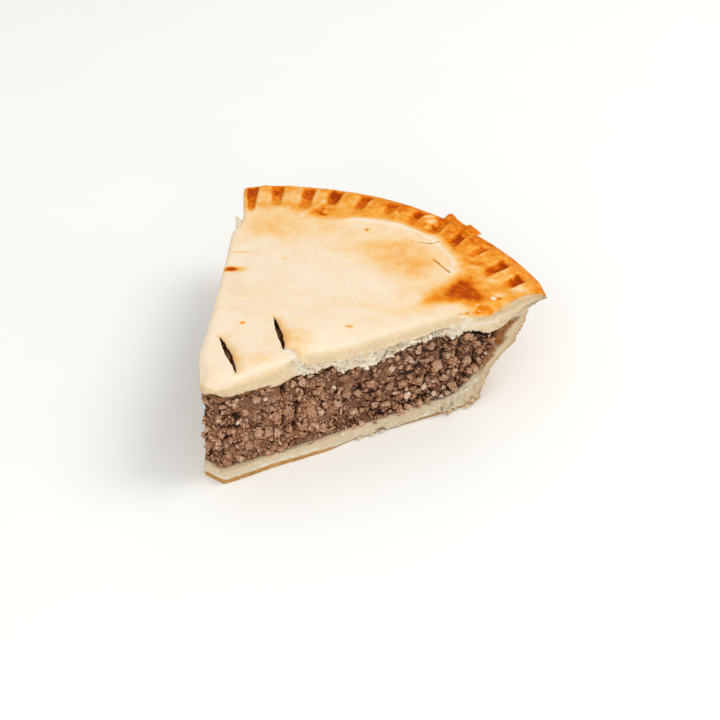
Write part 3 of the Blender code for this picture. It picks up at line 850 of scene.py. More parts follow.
def lid_skin(nominal, angle, sizes):
    """Height, browning and flour of the lid's top."""
    radii, _, tops = zip(*LID_PROFILE)
    radius = spread(nominal, angle, LID_TIP)
    high = smooth_through(radii, tops, nominal)
    spot = place(radius, angle, high)
    x, y = flat_place(spot)
    inward = rim_radius(angle) - radius
    grain = rough(spot, 22.0, 1)
    dapple = rough(spot, 7.0, 2)
    high += 0.30 * grain + 0.14 * dapple + 0.05 * rough(spot, 2.6, 5)

    bake = 0.10 + 0.03 * grain + 0.03 * dapple + 0.07 * climb(radius, 74.0, 94.0)
    flour = np.zeros_like(high)

    # Golden rim band, with a pale ridge along its inner edge.
    edge = along_table(BAND_EDGE, angle) + 0.9 * rough(spot, 6.0, 6)
    gold = np.interp(angle, (-30, -20, -10, 0, 10, 20, 30),
                     (0.53, 0.54, 0.62, 0.72, 0.73, 0.60, 0.57))
    width = np.interp(angle, (-30, -15, -8, 10, 20, 30), (6.0, 5.0, 4.0, 5.0, 8.0, 8.0))
    band = ease((radius - edge) / width + 0.45)
    toward_rim = climb(inward, 9.0, 1.0)
    tone = gold - 0.10 * (1 - toward_rim) + 0.07 * dapple + 0.10 * rough(spot, 2.6, 7)
    bake = bake * (1 - band) + tone * band
    off_ridge = radius - along_table(RIDGE, angle) + 0.5 * rough(spot, 5.0, 13)
    ridge_ends = ease((angle + 10.5) / 3) * climb(angle, 18.0, 14.0)
    ridge_line = bell(off_ridge, 1.1) * ridge_ends
    high += 0.42 * ridge_line
    # The ridge's crest is painted paler, a painted highlight.
    bake -= 0.12 * bell(off_ridge, 0.8) * ridge_ends

    # Pressed bars, with puffed dough between them.
    pressed = np.zeros_like(high)
    dark = np.zeros_like(high)
    border = np.zeros_like(high)
    nearest = np.full_like(high, 99.0)
    streaks = np.stack([angle * 10.3, inward, 0.0 * angle], axis=-1)
    for number, (middle, drift, start, end, half, strength) in enumerate(CRIMPS):
        fade = unit((inward - start) / (end - start))
        wander = 0.14 * rough(spot, 1.8, 20 + number)
        off = np.abs(angle - middle - drift * fade) / half + wander
        nearest = np.minimum(nearest, np.abs(angle - middle))
        length = ease((inward - start + 0.6) / 1.2) * ease((end - inward) / 7.0)
        pressed = np.maximum(pressed, length * ease((1.35 - off) * 1.4))
        tone = strength * (1.0 - 0.45 * ease(fade * 1.1))
        tone += 0.26 * rough(streaks, 4.0, 40 + number)
        shape = ease((inward - start + 0.7) / 1.2) * ease((end - inward) / 5.0)
        dark = np.maximum(dark, tone * shape * ease((1.60 - off) * 1.3))
        border = np.maximum(border, length * bell(off - 1.8, 0.40))
    near_rim = climb(inward, 0.6, 2.6) * climb(inward, 14.0, 6.0)
    high = high - sizes.crimp_depth / MM * pressed + 0.14 * border
    lobe = climb(nearest, 0.0, 2.2)
    high += 0.60 * near_rim * (1 - pressed) * (lobe + 0.6 * rough(spot, 4.0, 8))
    high += 0.22 * near_rim * rough(spot, 1.8, 14)
    mottle = rough(spot, 1.7, 15) + 0.8 * rough(spot, 0.9, 21)
    # The raised borders beside the bars are painted paler, a painted highlight.
    bake = bake - 0.07 * border * band + 0.10 * near_rim * mottle
    deepest = np.interp(angle, (-30, -10, 10, 30), (0.40, 0.38, 0.34, 0.36))
    bake += deepest * dark * np.where(inward < 20.0, 1.0, 0.0)
    outer = climb(inward, 2.4, 0.8)
    bake += outer * (0.06 + 0.05 * rough(spot, 5.0, 16))

    # Browned and tinted places.
    turn = math.radians(SPOT_TURN)
    for centre_x, centre_y, long, short, amount, sharp in SPOTS:
        along = (x - centre_x) * math.cos(turn) + (y - centre_y) * math.sin(turn)
        off = (y - centre_y) * math.cos(turn) - (x - centre_x) * math.sin(turn)
        reach = np.hypot(along / long, off / short)
        near = reach < 2.6
        if not near.any():
            continue
        wavy = reach[near]
        if long > BROAD_SPOT:
            wavy += 0.25 * rough(spot[near], long * 0.5, 9)
            amount *= BROAD_GAIN
        soft = np.exp(-wavy ** 2)
        crisp = climb(wavy, 1.25, 0.65)
        bake[near] += amount * (soft * (1 - sharp) + crisp * sharp)
    to_cut = cut_distance(nominal, np.abs(angle))
    by_point = climb(nominal, BREAK_AT, 29.0) * (1.0 - climb(to_cut, 0.5, 3.5))
    bake -= np.maximum(bake - 0.10, 0.0) * by_point

    # The dark patch by the right cut.
    halo = inside_distance(x, y, PATCH_HALO) + 0.6 * rough(spot, 3.0, 17)
    core = inside_distance(x, y, PATCH) + 0.4 * rough(spot, 2.2, 18)
    share = ease((halo + 3.2) / 5.2)
    bake = bake * (1 - share) + np.maximum(bake, 0.64) * share
    share = ease((core + 1.3) / 2.4)
    bake = bake * (1 - share) + (0.89 + 0.03 * dapple) * share

    # Blister and the fold beside it.
    blister = np.hypot(x - BLISTER[0], y - BLISTER[1])
    high += 0.55 * climb(blister, 1.5, 0.3)
    ring = bell(blister - 1.75, 0.5) * climb(y, 101.6, 100.1)
    # The blister's top is painted paler, a painted highlight; the dark crescent only on its lower
    # side is partly browning and partly painted shade.
    bake += 0.34 * ring + 0.12 * bell(blister, 4.0) - 0.2 * climb(blister, 1.3, 0.3)
    fold = line_distance(x, y, FOLD)
    high += 0.45 * bell(fold, 0.8)
    # The fold's crest is painted paler, a painted highlight, with a darker band beside it.
    bake = bake - 0.10 * bell(fold, 0.8) + 0.07 * bell(fold - 2.0, 1.0)
    stem = line_distance(x, y, FOLD_STEM)
    high += 0.25 * bell(stem, 0.45)

    # The slits: the right lip dips into a soft hollow, the left lip stands crisp.
    half_width = sizes.slit_width / MM / 2
    for slit in SLITS:
        along, right, left = slit_places(x, y, slit, half_width)
        window = ease((along + 0.10) / 0.16) * climb(along, 1.12, 0.96)
        dip = np.where(right > -half_width, np.exp(-np.maximum(right, 0.0) / 1.7), 0.0)
        high -= 1.25 * dip * window * ease((right + half_width) / 0.4)
        high += 0.16 * bell(left, 0.7) * window
        # The hollow by the right lip is painted tan, partly browning and partly painted shade; the
        # left lip is painted paler, a painted highlight.
        bake += 0.24 * dip * window * ease((right + half_width) / 0.4)
        bake -= 0.04 * bell(left, 1.0) * window

    # The break, with its torn white edge.
    line = break_line(angle, spot)
    beyond = ease((radius - line) / 0.7 + 0.5)
    high -= sizes.break_drop / MM * beyond * break_step(nominal, angle)
    torn = bell(radius - line + 0.6, 1.7) * climb(angle, 19.6, 21.1)
    torn = unit(torn * (1.2 + 0.7 * rough(spot, 0.9, 10)))
    flour = np.maximum(flour, torn)
    bake = bake * (1 - torn) - 0.05 * torn
    high += torn * (0.25 + 0.60 * rough(spot, 0.9, 11))
    # Just beyond the step the lid shows rough dough and is painted darker, painted shade below the
    # step.
    lee_rough_and_shade = ease((radius - line) / 0.6) * ease((line + 5.0 - radius) / 4.0)
    lee_rough_and_shade *= climb(angle, 19.6, 23.6)
    bake += 0.22 * lee_rough_and_shade
    flour = np.maximum(flour, 0.8 * lee_rough_and_shade)

    # The lid rolls down towards the cuts.
    drop = along_table(ROLL_PROFILE, nominal)
    reach = unit(1.0 - to_cut / 4.6)
    rolled = 1.0 - np.sqrt(1.0 - 0.98 * reach ** 2)
    tip_side = np.interp(nominal, (0.0, 31.0, 33.0, 84.0, 90.0, 94.0, 101.0, 105.0),
                         (0.6, 0.6, 1.0, 1.0, 0.3, 0.8, 0.8, 0.3))
    near = unit(1.0 - to_cut / 2.2)
    sharp = 1.0 - np.sqrt(1.0 - 0.97 * near ** 2)
    right_roll = drop * (tip_side * rolled + (1 - tip_side) * sharp)
    left_width = np.interp(nominal, (0.0, 15.0, 30.0), (2.8, 2.4, 1.6))
    left_reach = unit(1.0 - to_cut / left_width)
    left_roll = np.interp(nominal, (0.0, 15.0, 30.0), (1.4, 1.2, 0.8)) * left_reach ** 2
    puffed = bell(nominal - 110.0, 4.0) * climb(to_cut, 7.0, 0.0) * (angle > 0)
    high += 1.0 * puffed
    high -= np.where(angle > 0, right_roll, left_roll)
    wide = ease(1.0 - to_cut / (2.9 + 0.6 * grain)) * climb(nominal, BREAK_AT, 33.0)
    wide = wide * (angle > 0) * climb(nominal, 90.0, 86.0)
    # By the right cut the rolled edge shows whiter dough and is painted darker, painted shade where
    # it turns down.
    bake += 0.24 * climb(wide, 0.3, 1.0)
    flour = np.maximum(flour, 0.97 * climb(wide, 0.0, 0.45))

    # Peeled skin by the right cut.
    peel = inside_distance(x, y, PEEL) + 0.30 * rough(spot, 0.9, 12)
    bare = climb(peel, 0.0, 0.35)
    high -= 0.55 * bare
    bake = bake * (1 - bare) + (0.66 + 0.22 * rough(spot, 1.4, 19)) * bare
    lip = bell(peel + 0.14, 0.13) * climb(line_distance(x, y, PEEL[:8]), 0.6, 0.2)
    lip *= ease(0.35 + 2.6 * rough(spot, 1.1, 22))
    # The pale raised lip along the upper edge of the peel is torn dough and a painted highlight.
    flour = np.maximum(flour, 0.80 * lip)
    bake *= (1 - 0.75 * lip)
    high += 0.22 * lip

    # Cracks.
    stain = np.zeros_like(high)
    for run, width, depth in CRACKS:
        off = line_distance(x, y, run) + 0.15 * rough(spot, 1.0, 23)
        high -= depth * 0.5 * bell(off, width)
        stain = np.maximum(stain, 0.55 * bell(off, width * 0.7))
        bake += 0.55 * bell(off, width * 0.9)
        high += 0.14 * bell(off - 0.9, 0.5)
        bake -= 0.08 * bell(off - 0.9, 0.6)
    return high, bake, flour, stain


def lid_under(nominal, angle):
    """Height of the lid's underside."""
    radii, unders, _ = zip(*LID_PROFILE)
    sink = np.where(nominal > BREAK_AT, 0.75 * break_step(nominal, angle), 0.0)
    point = 1.7 * climb(nominal, 10.0, 6.0) * climb(angle, 8.0, -14.0)
    return smooth_through(radii, unders, nominal) - sink - point


def cut_hang(nominal, angle):
    """How far the lid's underside rises above its plain height by the right cut."""
    to_cut = cut_distance(nominal, angle)
    return along_table(HANG_PROFILE, nominal) * climb(to_cut, 4.0, 0.0)


def shape_edges(points, nominal, angle):
    """Moves the lid's left edge and rounds the corners of its point."""
    x, y = flat_place(points)
    points[..., 1] += 2.2 * climb(x, 0.8, -3.8) * (1.0 - climb(nominal, 5.0, 18.0))
    to_left = cut_distance(nominal, -angle)
    far = along_table(LEFT_EDGE, nominal) * climb(to_left, 7.0, 0.0)
    points += far[..., None] * LEFT_WAY
    blunt = 1.1 * climb(nominal, 111.0, 120.0) * climb(angle, 26.5, 30.0)
    points[..., :2] -= blunt[..., None] * (CUT_SIN, CUT_COS)
    for turn, reach in ((1, 5.0), (-1, 2.0)):
        x, y = flat_place(points)
        corner_x = turn * LID_TIP * CUT_SIN / CUT_COS - (LEFT_SPREAD + 1.6 if turn < 0 else 0.0)
        corner_y = LID_TIP + (1.2 if turn < 0 else 0.0)
        along = np.maximum((y - corner_y) / CUT_COS, 0.0)
        back = np.maximum(turn * (corner_x - x) + along * CUT_SIN, 0.0)
        a = unit(1.0 - back / reach)
        b = unit(1.0 - along / reach)
        back_move = reach * a * (1.0 - np.sqrt(1.0 - b * b / 2))
        along_move = reach * b * (1.0 - np.sqrt(1.0 - a * a / 2))
        points[..., 0] += turn * (along_move * CUT_SIN - back_move)
        points[..., 1] += along_move * CUT_COS
    return points


def make_lid(sizes, colours):
    """The top crust, with its crimped rim, slits, break and torn edges."""
    across, along, thick = 240, 256, 24
    angles = columns_across(across)
    nominals = np.linspace(LID_TIP, NOMINAL_RADIUS, along + 1)
    angle, nominal = np.meshgrid(angles, nominals, indexing="ij")
    shell = Shell(across, along, thick, 1, 4)
    radius = spread(nominal, angle, LID_TIP)
    high, bake, flour, cracked = lid_skin(nominal, angle, sizes)
    top = shape_edges(place(radius, angle, high), nominal, angle)
    to_cut = cut_distance(nominal, np.abs(angle))
    under_high = lid_under(nominal, angle)
    under_high += cut_hang(nominal, angle)
    under_spots = place(radius, angle, under_high)
    ragged = 0.9 * rough(under_spots, 3.4, 30) + 0.75 * rough(under_spots, 1.7, 31)
    ragged += 0.45 * rough(under_spots, 0.8, 32)
    crumbly_part = climb(nominal, 30.0, 33.0) * climb(nominal, 106.0, 100.0) * (angle > 0)
    low_edge = climb(to_cut, 3.0, 0.0) * climb(nominal, 112.0, 106.0)
    under_high -= (0.2 + ragged * (0.35 + 0.65 * crumbly_part)) * low_edge
    under = shape_edges(place(radius, angle, under_high), nominal, angle)

    walls = shell.columns(top, under)
    face, share, out = wall_frame(shell, angles)
    wall_radius = shell.wide(radius)
    coarse = rough(walls, 2.2, 33)
    medium = rough(walls, 1.0, 34)
    fine = rough(walls, 0.5, 35)
    slant = wall_radius - (32.2 + BREAK_SLANT * (1 - share))
    shoulder_part = (face == 1) * climb(slant, 0.0, 0.6) * climb(wall_radius, 89.0, 86.0)
    body = climb(share, 0.0, 0.1) * climb(share, 1.0, 0.88)
    flat_part = 0.16 * coarse + 0.10 * medium + 0.05 * fine
    loose = ease((0.84 + 0.42 * coarse + 0.26 * medium - share) / 0.12)
    bent = shaken(shaken(walls, 2.4, 0.8, 37), 1.0, 0.3, 40)
    gap_big, mark_big = cells(bent, 2.3, 3)
    gap_small, mark_small = cells(bent, 1.15, 4)
    blocky = 1.5 * (mark_big - 0.45) + 0.9 * (np.sqrt(unit(gap_big / 0.4)) - 0.7)
    blocky += 0.5 * (mark_small - 0.5)
    blocky += 0.5 * (np.sqrt(unit(gap_small / 0.45)) - 0.75)
    white_side = climb(wall_radius, 58.0, 64.0)
    blocky = blocky * (0.55 + 0.60 * white_side) * climb(share, 1.05, 0.55)
    blocky += 0.35 * white_side + 0.25 + 0.2 * fine
    rounded = 0.45 * np.sin(unit((share - 0.60) / 0.40) * math.pi)
    hang = climb(share, 0.3, 0.0)
    push = (1 - shoulder_part) * (flat_part + hang * (0.35 * medium + 0.25 * fine))
    push += shoulder_part * (loose * blocky + (1 - loose) * (rounded + 0.12 * coarse))
    push = push * np.where(face == 2, 0.35, 1.0) * body
    tear = (face == 1) * bell(slant + 1.2, 1.9) * climb(wall_radius, 26.0, 29.0)
    push += tear * (0.35 + 0.9 * (mark_small - 0.5) + 0.7 * medium + 0.4 * fine) * body
    ridge = (face == 1) * bell(wall_radius - 88.2 + 0.8 * coarse, 1.5) * climb(share, 0.0, 0.3)
    push += ridge * (1.5 + 0.7 * medium + 0.4 * fine) * body
    layered = (face != 2) * climb(wall_radius, 91.0, 95.0)
    layers = np.sin(11.0 * share + 2.2 * rough(walls, 9.0, 36) + 0.9 * medium)
    push += layered * (0.16 * layers + 0.35 * medium + 0.25 * fine) * body
    seam = (face != 2) * climb(wall_radius, 104.0, 108.0) * bell(share - 0.42, 0.07)
    push -= 0.35 * seam
    push -= (face == 3) * 1.1 * climb(wall_radius, 90.0, 93.0) * body
    walls += out[:, None, :] * push[..., None]

    smooth_part = shoulder_part * (1 - loose)
    wall_flour = 0.96 - 0.04 * smooth_part + 0.04 * medium
    soft_top = np.interp(wall_radius, (4.0, 26.0, 32.0, 84.0, 92.0, 104.0),
                         (0.55, 0.50, 0.08, 0.08, 0.14, 0.30)) * np.where(face == 3, 0.3, 1.0)
    soft_top *= (1.0 + 0.5 * medium)
    skin_deep = ease((share - 1.0 + soft_top) / soft_top) * (1 - unit(tear))
    wall_flour = wall_flour * (1 - skin_deep) + shell.wide(flour) * skin_deep
    wall_flour = np.where(face == 2, shell.wide(flour), wall_flour)
    by_tip = climb(wall_radius, 30.0, 26.0)
    cut_tone = np.interp(wall_radius, (4.0, 28.0, 34.0, 44.0, 58.0, 64.0, 84.0, 92.0, 120.0),
                         (0.34, 0.28, 0.08, 0.07, 0.04, 0.02, 0.02, 0.10, 0.36))
    cut_tone += 0.05 * coarse + 0.05 * medium - 0.14 * unit(tear + ridge)
    cut_tone -= 0.05 * by_tip * climb(share, 0.36, 0.11)
    crease = share - 0.55 - 0.10 * rough(walls, 8.0, 36)
    cut_tone += 0.12 * by_tip * bell(crease, 0.05) * ease(0.3 + coarse)
    cut_tone += layered * (0.11 * layers + 0.14 * climb(share, 0.5, 0.9))
    wall_bake = np.where(face == 2, shell.wide(bake),
                         cut_tone * (1 - skin_deep) + shell.wide(bake) * skin_deep)
    # The smooth shoulder is painted a dim tan, partly less baked dough and partly painted shade
    # where it turns down.
    wall_bake = wall_bake * (1 - smooth_part) + 0.33 * smooth_part + 0.10 * seam
    soak = climb(share, 0.16, 0.0) * ease(0.55 + 0.8 * coarse) * (face != 2)
    soak = 0.35 * soak * climb(wall_radius, 100.0, 94.0) * (1 - 0.7 * shoulder_part)

    crumbly = shoulder_part * loose * (0.55 + 0.9 * medium)
    crumbly += 0.8 * tear + 0.8 * ridge + 0.2 * climb(share, 0.14, 0.04)
    crumbly *= np.where((face == 3) & (wall_radius > 88.0), 0.2, 1.0)
    crumbly = np.where(face == 2, 0.0, unit(crumbly))
    clods = shoulder_part * climb(share, 0.62, 0.42) * climb(wall_radius, 42.0, 46.0)
    clods = unit(clods * (0.25 + 0.9 * white_side) + 0.5 * ridge + 0.25 * tear)
    break_gap = np.abs(radius - break_line(angle, top) + 0.6)
    crumbly_top = climb(break_gap, 2.0, 1.1) * climb(angle, 19.6, 21.1)
    below_peel = line_distance(*flat_place(top), PEEL[11:])
    crumbly_top = np.maximum(crumbly_top, 0.9 * climb(below_peel, 1.5, 0.7) * (to_cut > 0.6))

    points = shell.join(top, under, walls)
    mesh = mesh_from("lid_pastry", points, shell.faces)
    none = np.zeros_like(high)
    store(mesh,
          bake=shell.join(bake, none + 0.18, wall_bake),
          flour=shell.join(flour, none + 0.5, wall_flour),
          crumbly=shell.join(crumbly_top, none, crumbly),
          clods=shell.join(none, none, clods * (face == 1)),
          stain=shell.join(cracked, none + 0.8 * climb(nominal, 100.0, 94.0), soak))
    mesh.materials.append(pastry_finish("lid pastry", colours, lid_stops(colours)))
    lid = link("lid_pastry", mesh)

    cutters = []
    walls_look = slit_wall_finish(colours)
    for number, slit in enumerate(SLITS, start=1):
        cutter = slit_cutter(f"slit_cutter_{number}", slit, sizes.slit_width / MM / 2)
        cutter.data.materials.append(walls_look)
        cutters.append(cutter)
        cut = lid.modifiers.new(f"slit {number}", "BOOLEAN")
        cut.object = cutter
        cut.operation = "DIFFERENCE"
        cut.solver = "EXACT"
        cut.material_mode = "TRANSFER"
    apply_modifiers(lid)
    for cutter in cutters:
        bpy.data.objects.remove(cutter, do_unlink=True)
    finish_piece(lid, "lid_crust", "lid_crust")
    return lid


# The heights between which the slits' walls turn from dark to browned, in metres.
SLIT_SHADE = (0.0345, 0.0390)


def slit_wall_finish(colours):
    """Dough inside the slits, browned at the top and darker below, partly soaked with juice and
    partly painted shade.
    """
    look = Finish("slit walls", 0.5)
    separate = look.node("ShaderNodeSeparateXYZ", {"Vector": look.place})
    depth = look.spread(separate.outputs["Z"], *SLIT_SHADE)
    wavy = look.math("ADD", depth, look.spread(look.noise(0.0022), 0.3, 0.7, -0.2, 0.2))
    colour = look.ramp(wavy, (
        (0.0, scaled(colours.stain, 0.2)), (0.5, scaled(colours.stain, 0.5)),
        (0.8, scaled(between(colours.stain, colours.gold_crust, 0.35), 0.65)),
        (1.0, between(colours.gold_crust, colours.pale_crust, 0.4))))
    return look.finished(colour, specular=0.2,
                         normal=look.bump(look.noise(0.0009), 0.7, 0.0006))


def slit_cutter(name, slit, half_width):
    """Upright lens-shaped block that cuts one slit through the lid."""
    start = Vector(slit[0])
    end = Vector(slit[1])
    run = end - start
    sideways = Vector((-run.y, run.x)).normalized()
    steps = 28
    outline = []
    for turn in (1, -1):
        order = range(steps + 1) if turn == 1 else range(steps - 1, 0, -1)
        for step in order:
            share = step / steps
            swell = turn * half_width * math.sin(math.pi * share) ** 0.8
            wander = 0.38 * noise.noise(Vector((share * 8.0, turn * 2.0, start.x)))
            taper = math.sin(math.pi * share)
            outline.append(start + run * share + sideways * (swell + wander * taper))
    points = []
    for height in (26.0, 46.0):
        points += [(spot.x + AXIS_X, spot.y + AXIS_Y, height) for spot in outline]
    count = len(outline)
    faces = [tuple(range(count)), tuple(range(2 * count - 1, count - 1, -1))]
    for n in range(count):
        m = (n + 1) % count
        faces.append((n, n + count, m + count, m))
    mesh = mesh_from(name, points, faces, smooth=False)
    fix_normals(mesh)
    return link(name, mesh)


def fix_normals(mesh):
    """Turns a closed mesh's faces outwards."""
    data = bmesh.new()
    data.from_mesh(mesh)
    bmesh.ops.recalc_face_normals(data, faces=data.faces)
    data.to_mesh(mesh)
    data.free()


def apply_modifiers(thing):
    """Turns an object's modifiers into its mesh."""
    made = evaluated_mesh(thing)
    thing.modifiers.clear()
    old = thing.data
    thing.data = made
    made.name = thing.name
    bpy.data.meshes.remove(old)


# ---- bottom crust ----

def make_bottom_crust(colours):
    """Flat base, flared wall and the thin flange under the rim."""
    across, along, thick = 160, 236, 14
    angles = columns_across(across)
    lengths = run_lengths([row[0] for row in CRUST_PROFILE])
    at = np.linspace(0.0, lengths[-1], along + 1)
    outer_n, outer_z, inner_n, inner_z = (
        smooth_through(lengths, [pair[side_][axis] for pair in CRUST_PROFILE], at)
        for side_ in (0, 1) for axis in (0, 1))
    outer_z = np.maximum(outer_z, 0.0)
    swell_out, swell_up = (smooth_through(lengths, [row[axis] for row in CUT_SWELL], at)
                           for axis in (0, 1))
    angle, outer_nominal = np.meshgrid(angles, outer_n, indexing="ij")
    _, inner_nominal = np.meshgrid(angles, inner_n, indexing="ij")
    _, outer_high = np.meshgrid(angles, outer_z, indexing="ij")
    _, inner_high = np.meshgrid(angles, inner_z, indexing="ij")
    shell = Shell(across, along, thick, 2, 1)
    outer_radius = spread(outer_nominal, angle, CRUST_TIP)
    inner_radius = spread(inner_nominal, angle, CRUST_TIP)
    to_right = cut_distance(outer_nominal, angle)
    at_cut = climb(to_right, 7.0, 0.0)
    outer_radius += at_cut * swell_out[None, :]
    outer_high = np.maximum(outer_high + at_cut * swell_up[None, :], 0.0)
    under = place(outer_radius, angle, outer_high)
    top = place(inner_radius, angle, inner_high)
    by_point = climb(outer_nominal, 50.0, 36.0) * climb(to_right, 9.0, 0.0)
    far = (1.1 + 0.8 * climb(outer_nominal, 22.0, 8.0)) * by_point
    to_left = cut_distance(outer_nominal, -angle)
    back = along_table(LEFT_EDGE, outer_nominal) - 1.2
    back = back * climb(outer_nominal, 93.0, 97.0) * climb(to_left, 9.0, 0.0)
    for sheet_points in (under, top):
        sheet_points += far[..., None] * RIGHT_WAY
        sheet_points += back[..., None] * LEFT_WAY
    wall_share = climb(outer_nominal, 93.0, 97.0)
    puff = 0.28 * rough(under, 7.0, 50) + 0.10 * rough(under, 2.2, 51)
    turn = np.radians(angle)
    outward = np.stack([np.sin(turn), np.cos(turn), 0.0 * turn], axis=-1)
    under += (puff * wall_share)[..., None] * outward
    to_cut = cut_distance(outer_nominal, np.abs(angle))
    near_cut = climb(to_cut, 1.2, 0.0) + climb(outer_nominal - CRUST_TIP, 1.0, 0.0)
    crumble = 0.85 * rough(under, 1.6, 59) * climb(to_cut, 1.6, 0.0) * wall_share
    under += crumble[..., None] * outward
    ragged = rough(under, 2.4, 52)
    lifted = unit(0.15 + 0.5 * ragged) * unit(near_cut)
    lifted *= climb(outer_nominal, 36.0, 44.0)
    under[..., 2] += lifted * (1 - wall_share)
    x, y = flat_place(under)
    chip = np.hypot(x - CHIP[0], y - CHIP[1])
    under[..., 2] += 1.5 * climb(chip, 2.4, 0.8)
    top[..., 2] += 0.35 * rough(top, 3.0, 53) * (1 - wall_share)

    walls = shell.columns(top, under)
    face, share, out = wall_frame(shell, angles)
    wall_nominal = shell.wide(outer_nominal)
    coarse = rough(walls, 3.2, 54)
    medium = rough(walls, 1.3, 55)
    fine = rough(walls, 0.6, 56)
    body = climb(share, 0.0, 0.14) * climb(share, 1.0, 0.9)
    base_part = climb(wall_nominal, 93.0, 89.0)
    push = 0.30 * coarse + 0.22 * medium + 0.12 * fine
    push += (1 - base_part) * (0.35 * knobs(walls, 1.8, 60) + 0.2 * medium)
    rugged = base_part * climb(wall_nominal, 52.0, 62.0)
    push += 0.25 * base_part * knobs(walls, 3.4, 61) + rugged * 0.4 * knobs(walls, 1.5, 67)
    heel = climb(wall_nominal, 76.0, 82.0) * climb(wall_nominal, 100.0, 96.0)
    push += heel * (0.7 * knobs(walls, 1.9, 68) + 0.4 * knobs(walls, 0.9, 69))
    push = push * body * np.where(face == 2, 0.3, 1.0)
    bevel = climb(share, 0.3, 0.0) * climb(wall_nominal, 96.0, 93.0) * (face != 2)
    push -= 0.55 * bevel ** 2 * climb(wall_nominal, 40.0, 48.0)
    walls += out[:, None, :] * push[..., None]

    wall_height = walls[..., 2]
    band_top = np.interp(wall_nominal, (5.0, 34.0, 40.0, 46.0, 66.0, 74.0, 82.0, 93.0),
                         (1.6, 1.5, 1.0, 0.2, 0.1, 0.9, 1.2, 1.0))
    band_top += 0.18 * coarse + 0.10 * medium
    band = ease((band_top - wall_height) / 0.22 + 0.5) * base_part
    outer_skin = climb(share, 0.1, 0.02) * (1 - base_part)
    browned = np.maximum(band, outer_skin)
    wall_flour = np.where(face == 2, 0.0, 1.0 - browned)
    wall_bake = 0.13 - 0.05 * (1 - base_part) * climb(wall_height, 10.0, 16.0)
    wall_bake += 0.05 * coarse + 0.04 * medium
    wall_bake += (0.05 + 0.22 * climb(share, 0.6, 0.2)) * (1 - base_part)
    wall_bake -= 0.06 * heel
    wall_bake -= 0.09 * base_part * bell(wall_height - band_top - 0.6, 0.5)
    wall_bake += 0.06 * base_part * climb(wall_height, 2.6, 4.2)
    wall_bake += browned * (0.55 + 0.10 * coarse)
    wall_bake = np.where(face == 2, 0.5, wall_bake)
    damp = climb(share, 0.78, 1.0) * 0.22 * base_part * ease(0.5 + coarse)
    in_wall = climb(wall_height, 10.0, 16.0) * climb(wall_height, 31.0, 29.0)
    soaked = ease((share - (0.36 + 0.16 * coarse + 0.08 * medium)) / 0.32)
    soaked = soaked * in_wall * (1 - base_part)
    stain = np.where(face == 2, 0.0, np.maximum(damp, soaked))

    crumbly = 0.8 * climb(share, 0.16, 0.06) * (1 - base_part) + 0.15 * (1 - base_part)
    crumbly += 0.35 * heel
    crumbly += 0.22 * rugged + base_part * (0.5 * climb(share, 0.88, 0.98)
                            + 0.3 * climb(share, 0.1, 0.02))
    crumbly = np.where(face == 2, 0.0, unit(crumbly * (0.7 + coarse)))
    points = shell.join(top, under, walls)
    mesh = mesh_from("bottom_pastry", points, shell.faces)
    baked = 0.62 + 0.26 * rough(under, 9.0, 57) + 0.16 * rough(under, 3.0, 58)
    baked += 0.12 * climb(outer_high, 26.0, 32.0)
    none = np.zeros_like(outer_high)
    store(mesh,
          bake=shell.join(none + 0.2, baked, wall_bake),
          flour=shell.join(none + 0.6, none, wall_flour),
          crumbly=shell.join(none, none, crumbly),
          stain=shell.join(0.8 * np.maximum(climb(to_cut, 2.2, 4.2),
                                            climb(inner_high, 9.0, 13.0)), none, stain))
    base = tuple(colours.baked_base)
    stops = (
        (0.0, tuple(colours.crumb)), (0.2, between(colours.crumb, base, 0.35)),
        (0.45, between(colours.crumb, base, 0.75)), (0.65, base),
        (0.85, scaled(base, 0.72)), (1.0, scaled(base, 0.5)))
    mesh.materials.append(pastry_finish("base pastry", colours, stops, colours.cut_base))
    crust = link("bottom_pastry", mesh)
    finish_piece(crust, "bottom_crust", "bottom_crust")
    return crust


# ---- meat filling ----

# From here outwards the mince lies in coarse lumps.
COARSE_RADIUS = 58.0


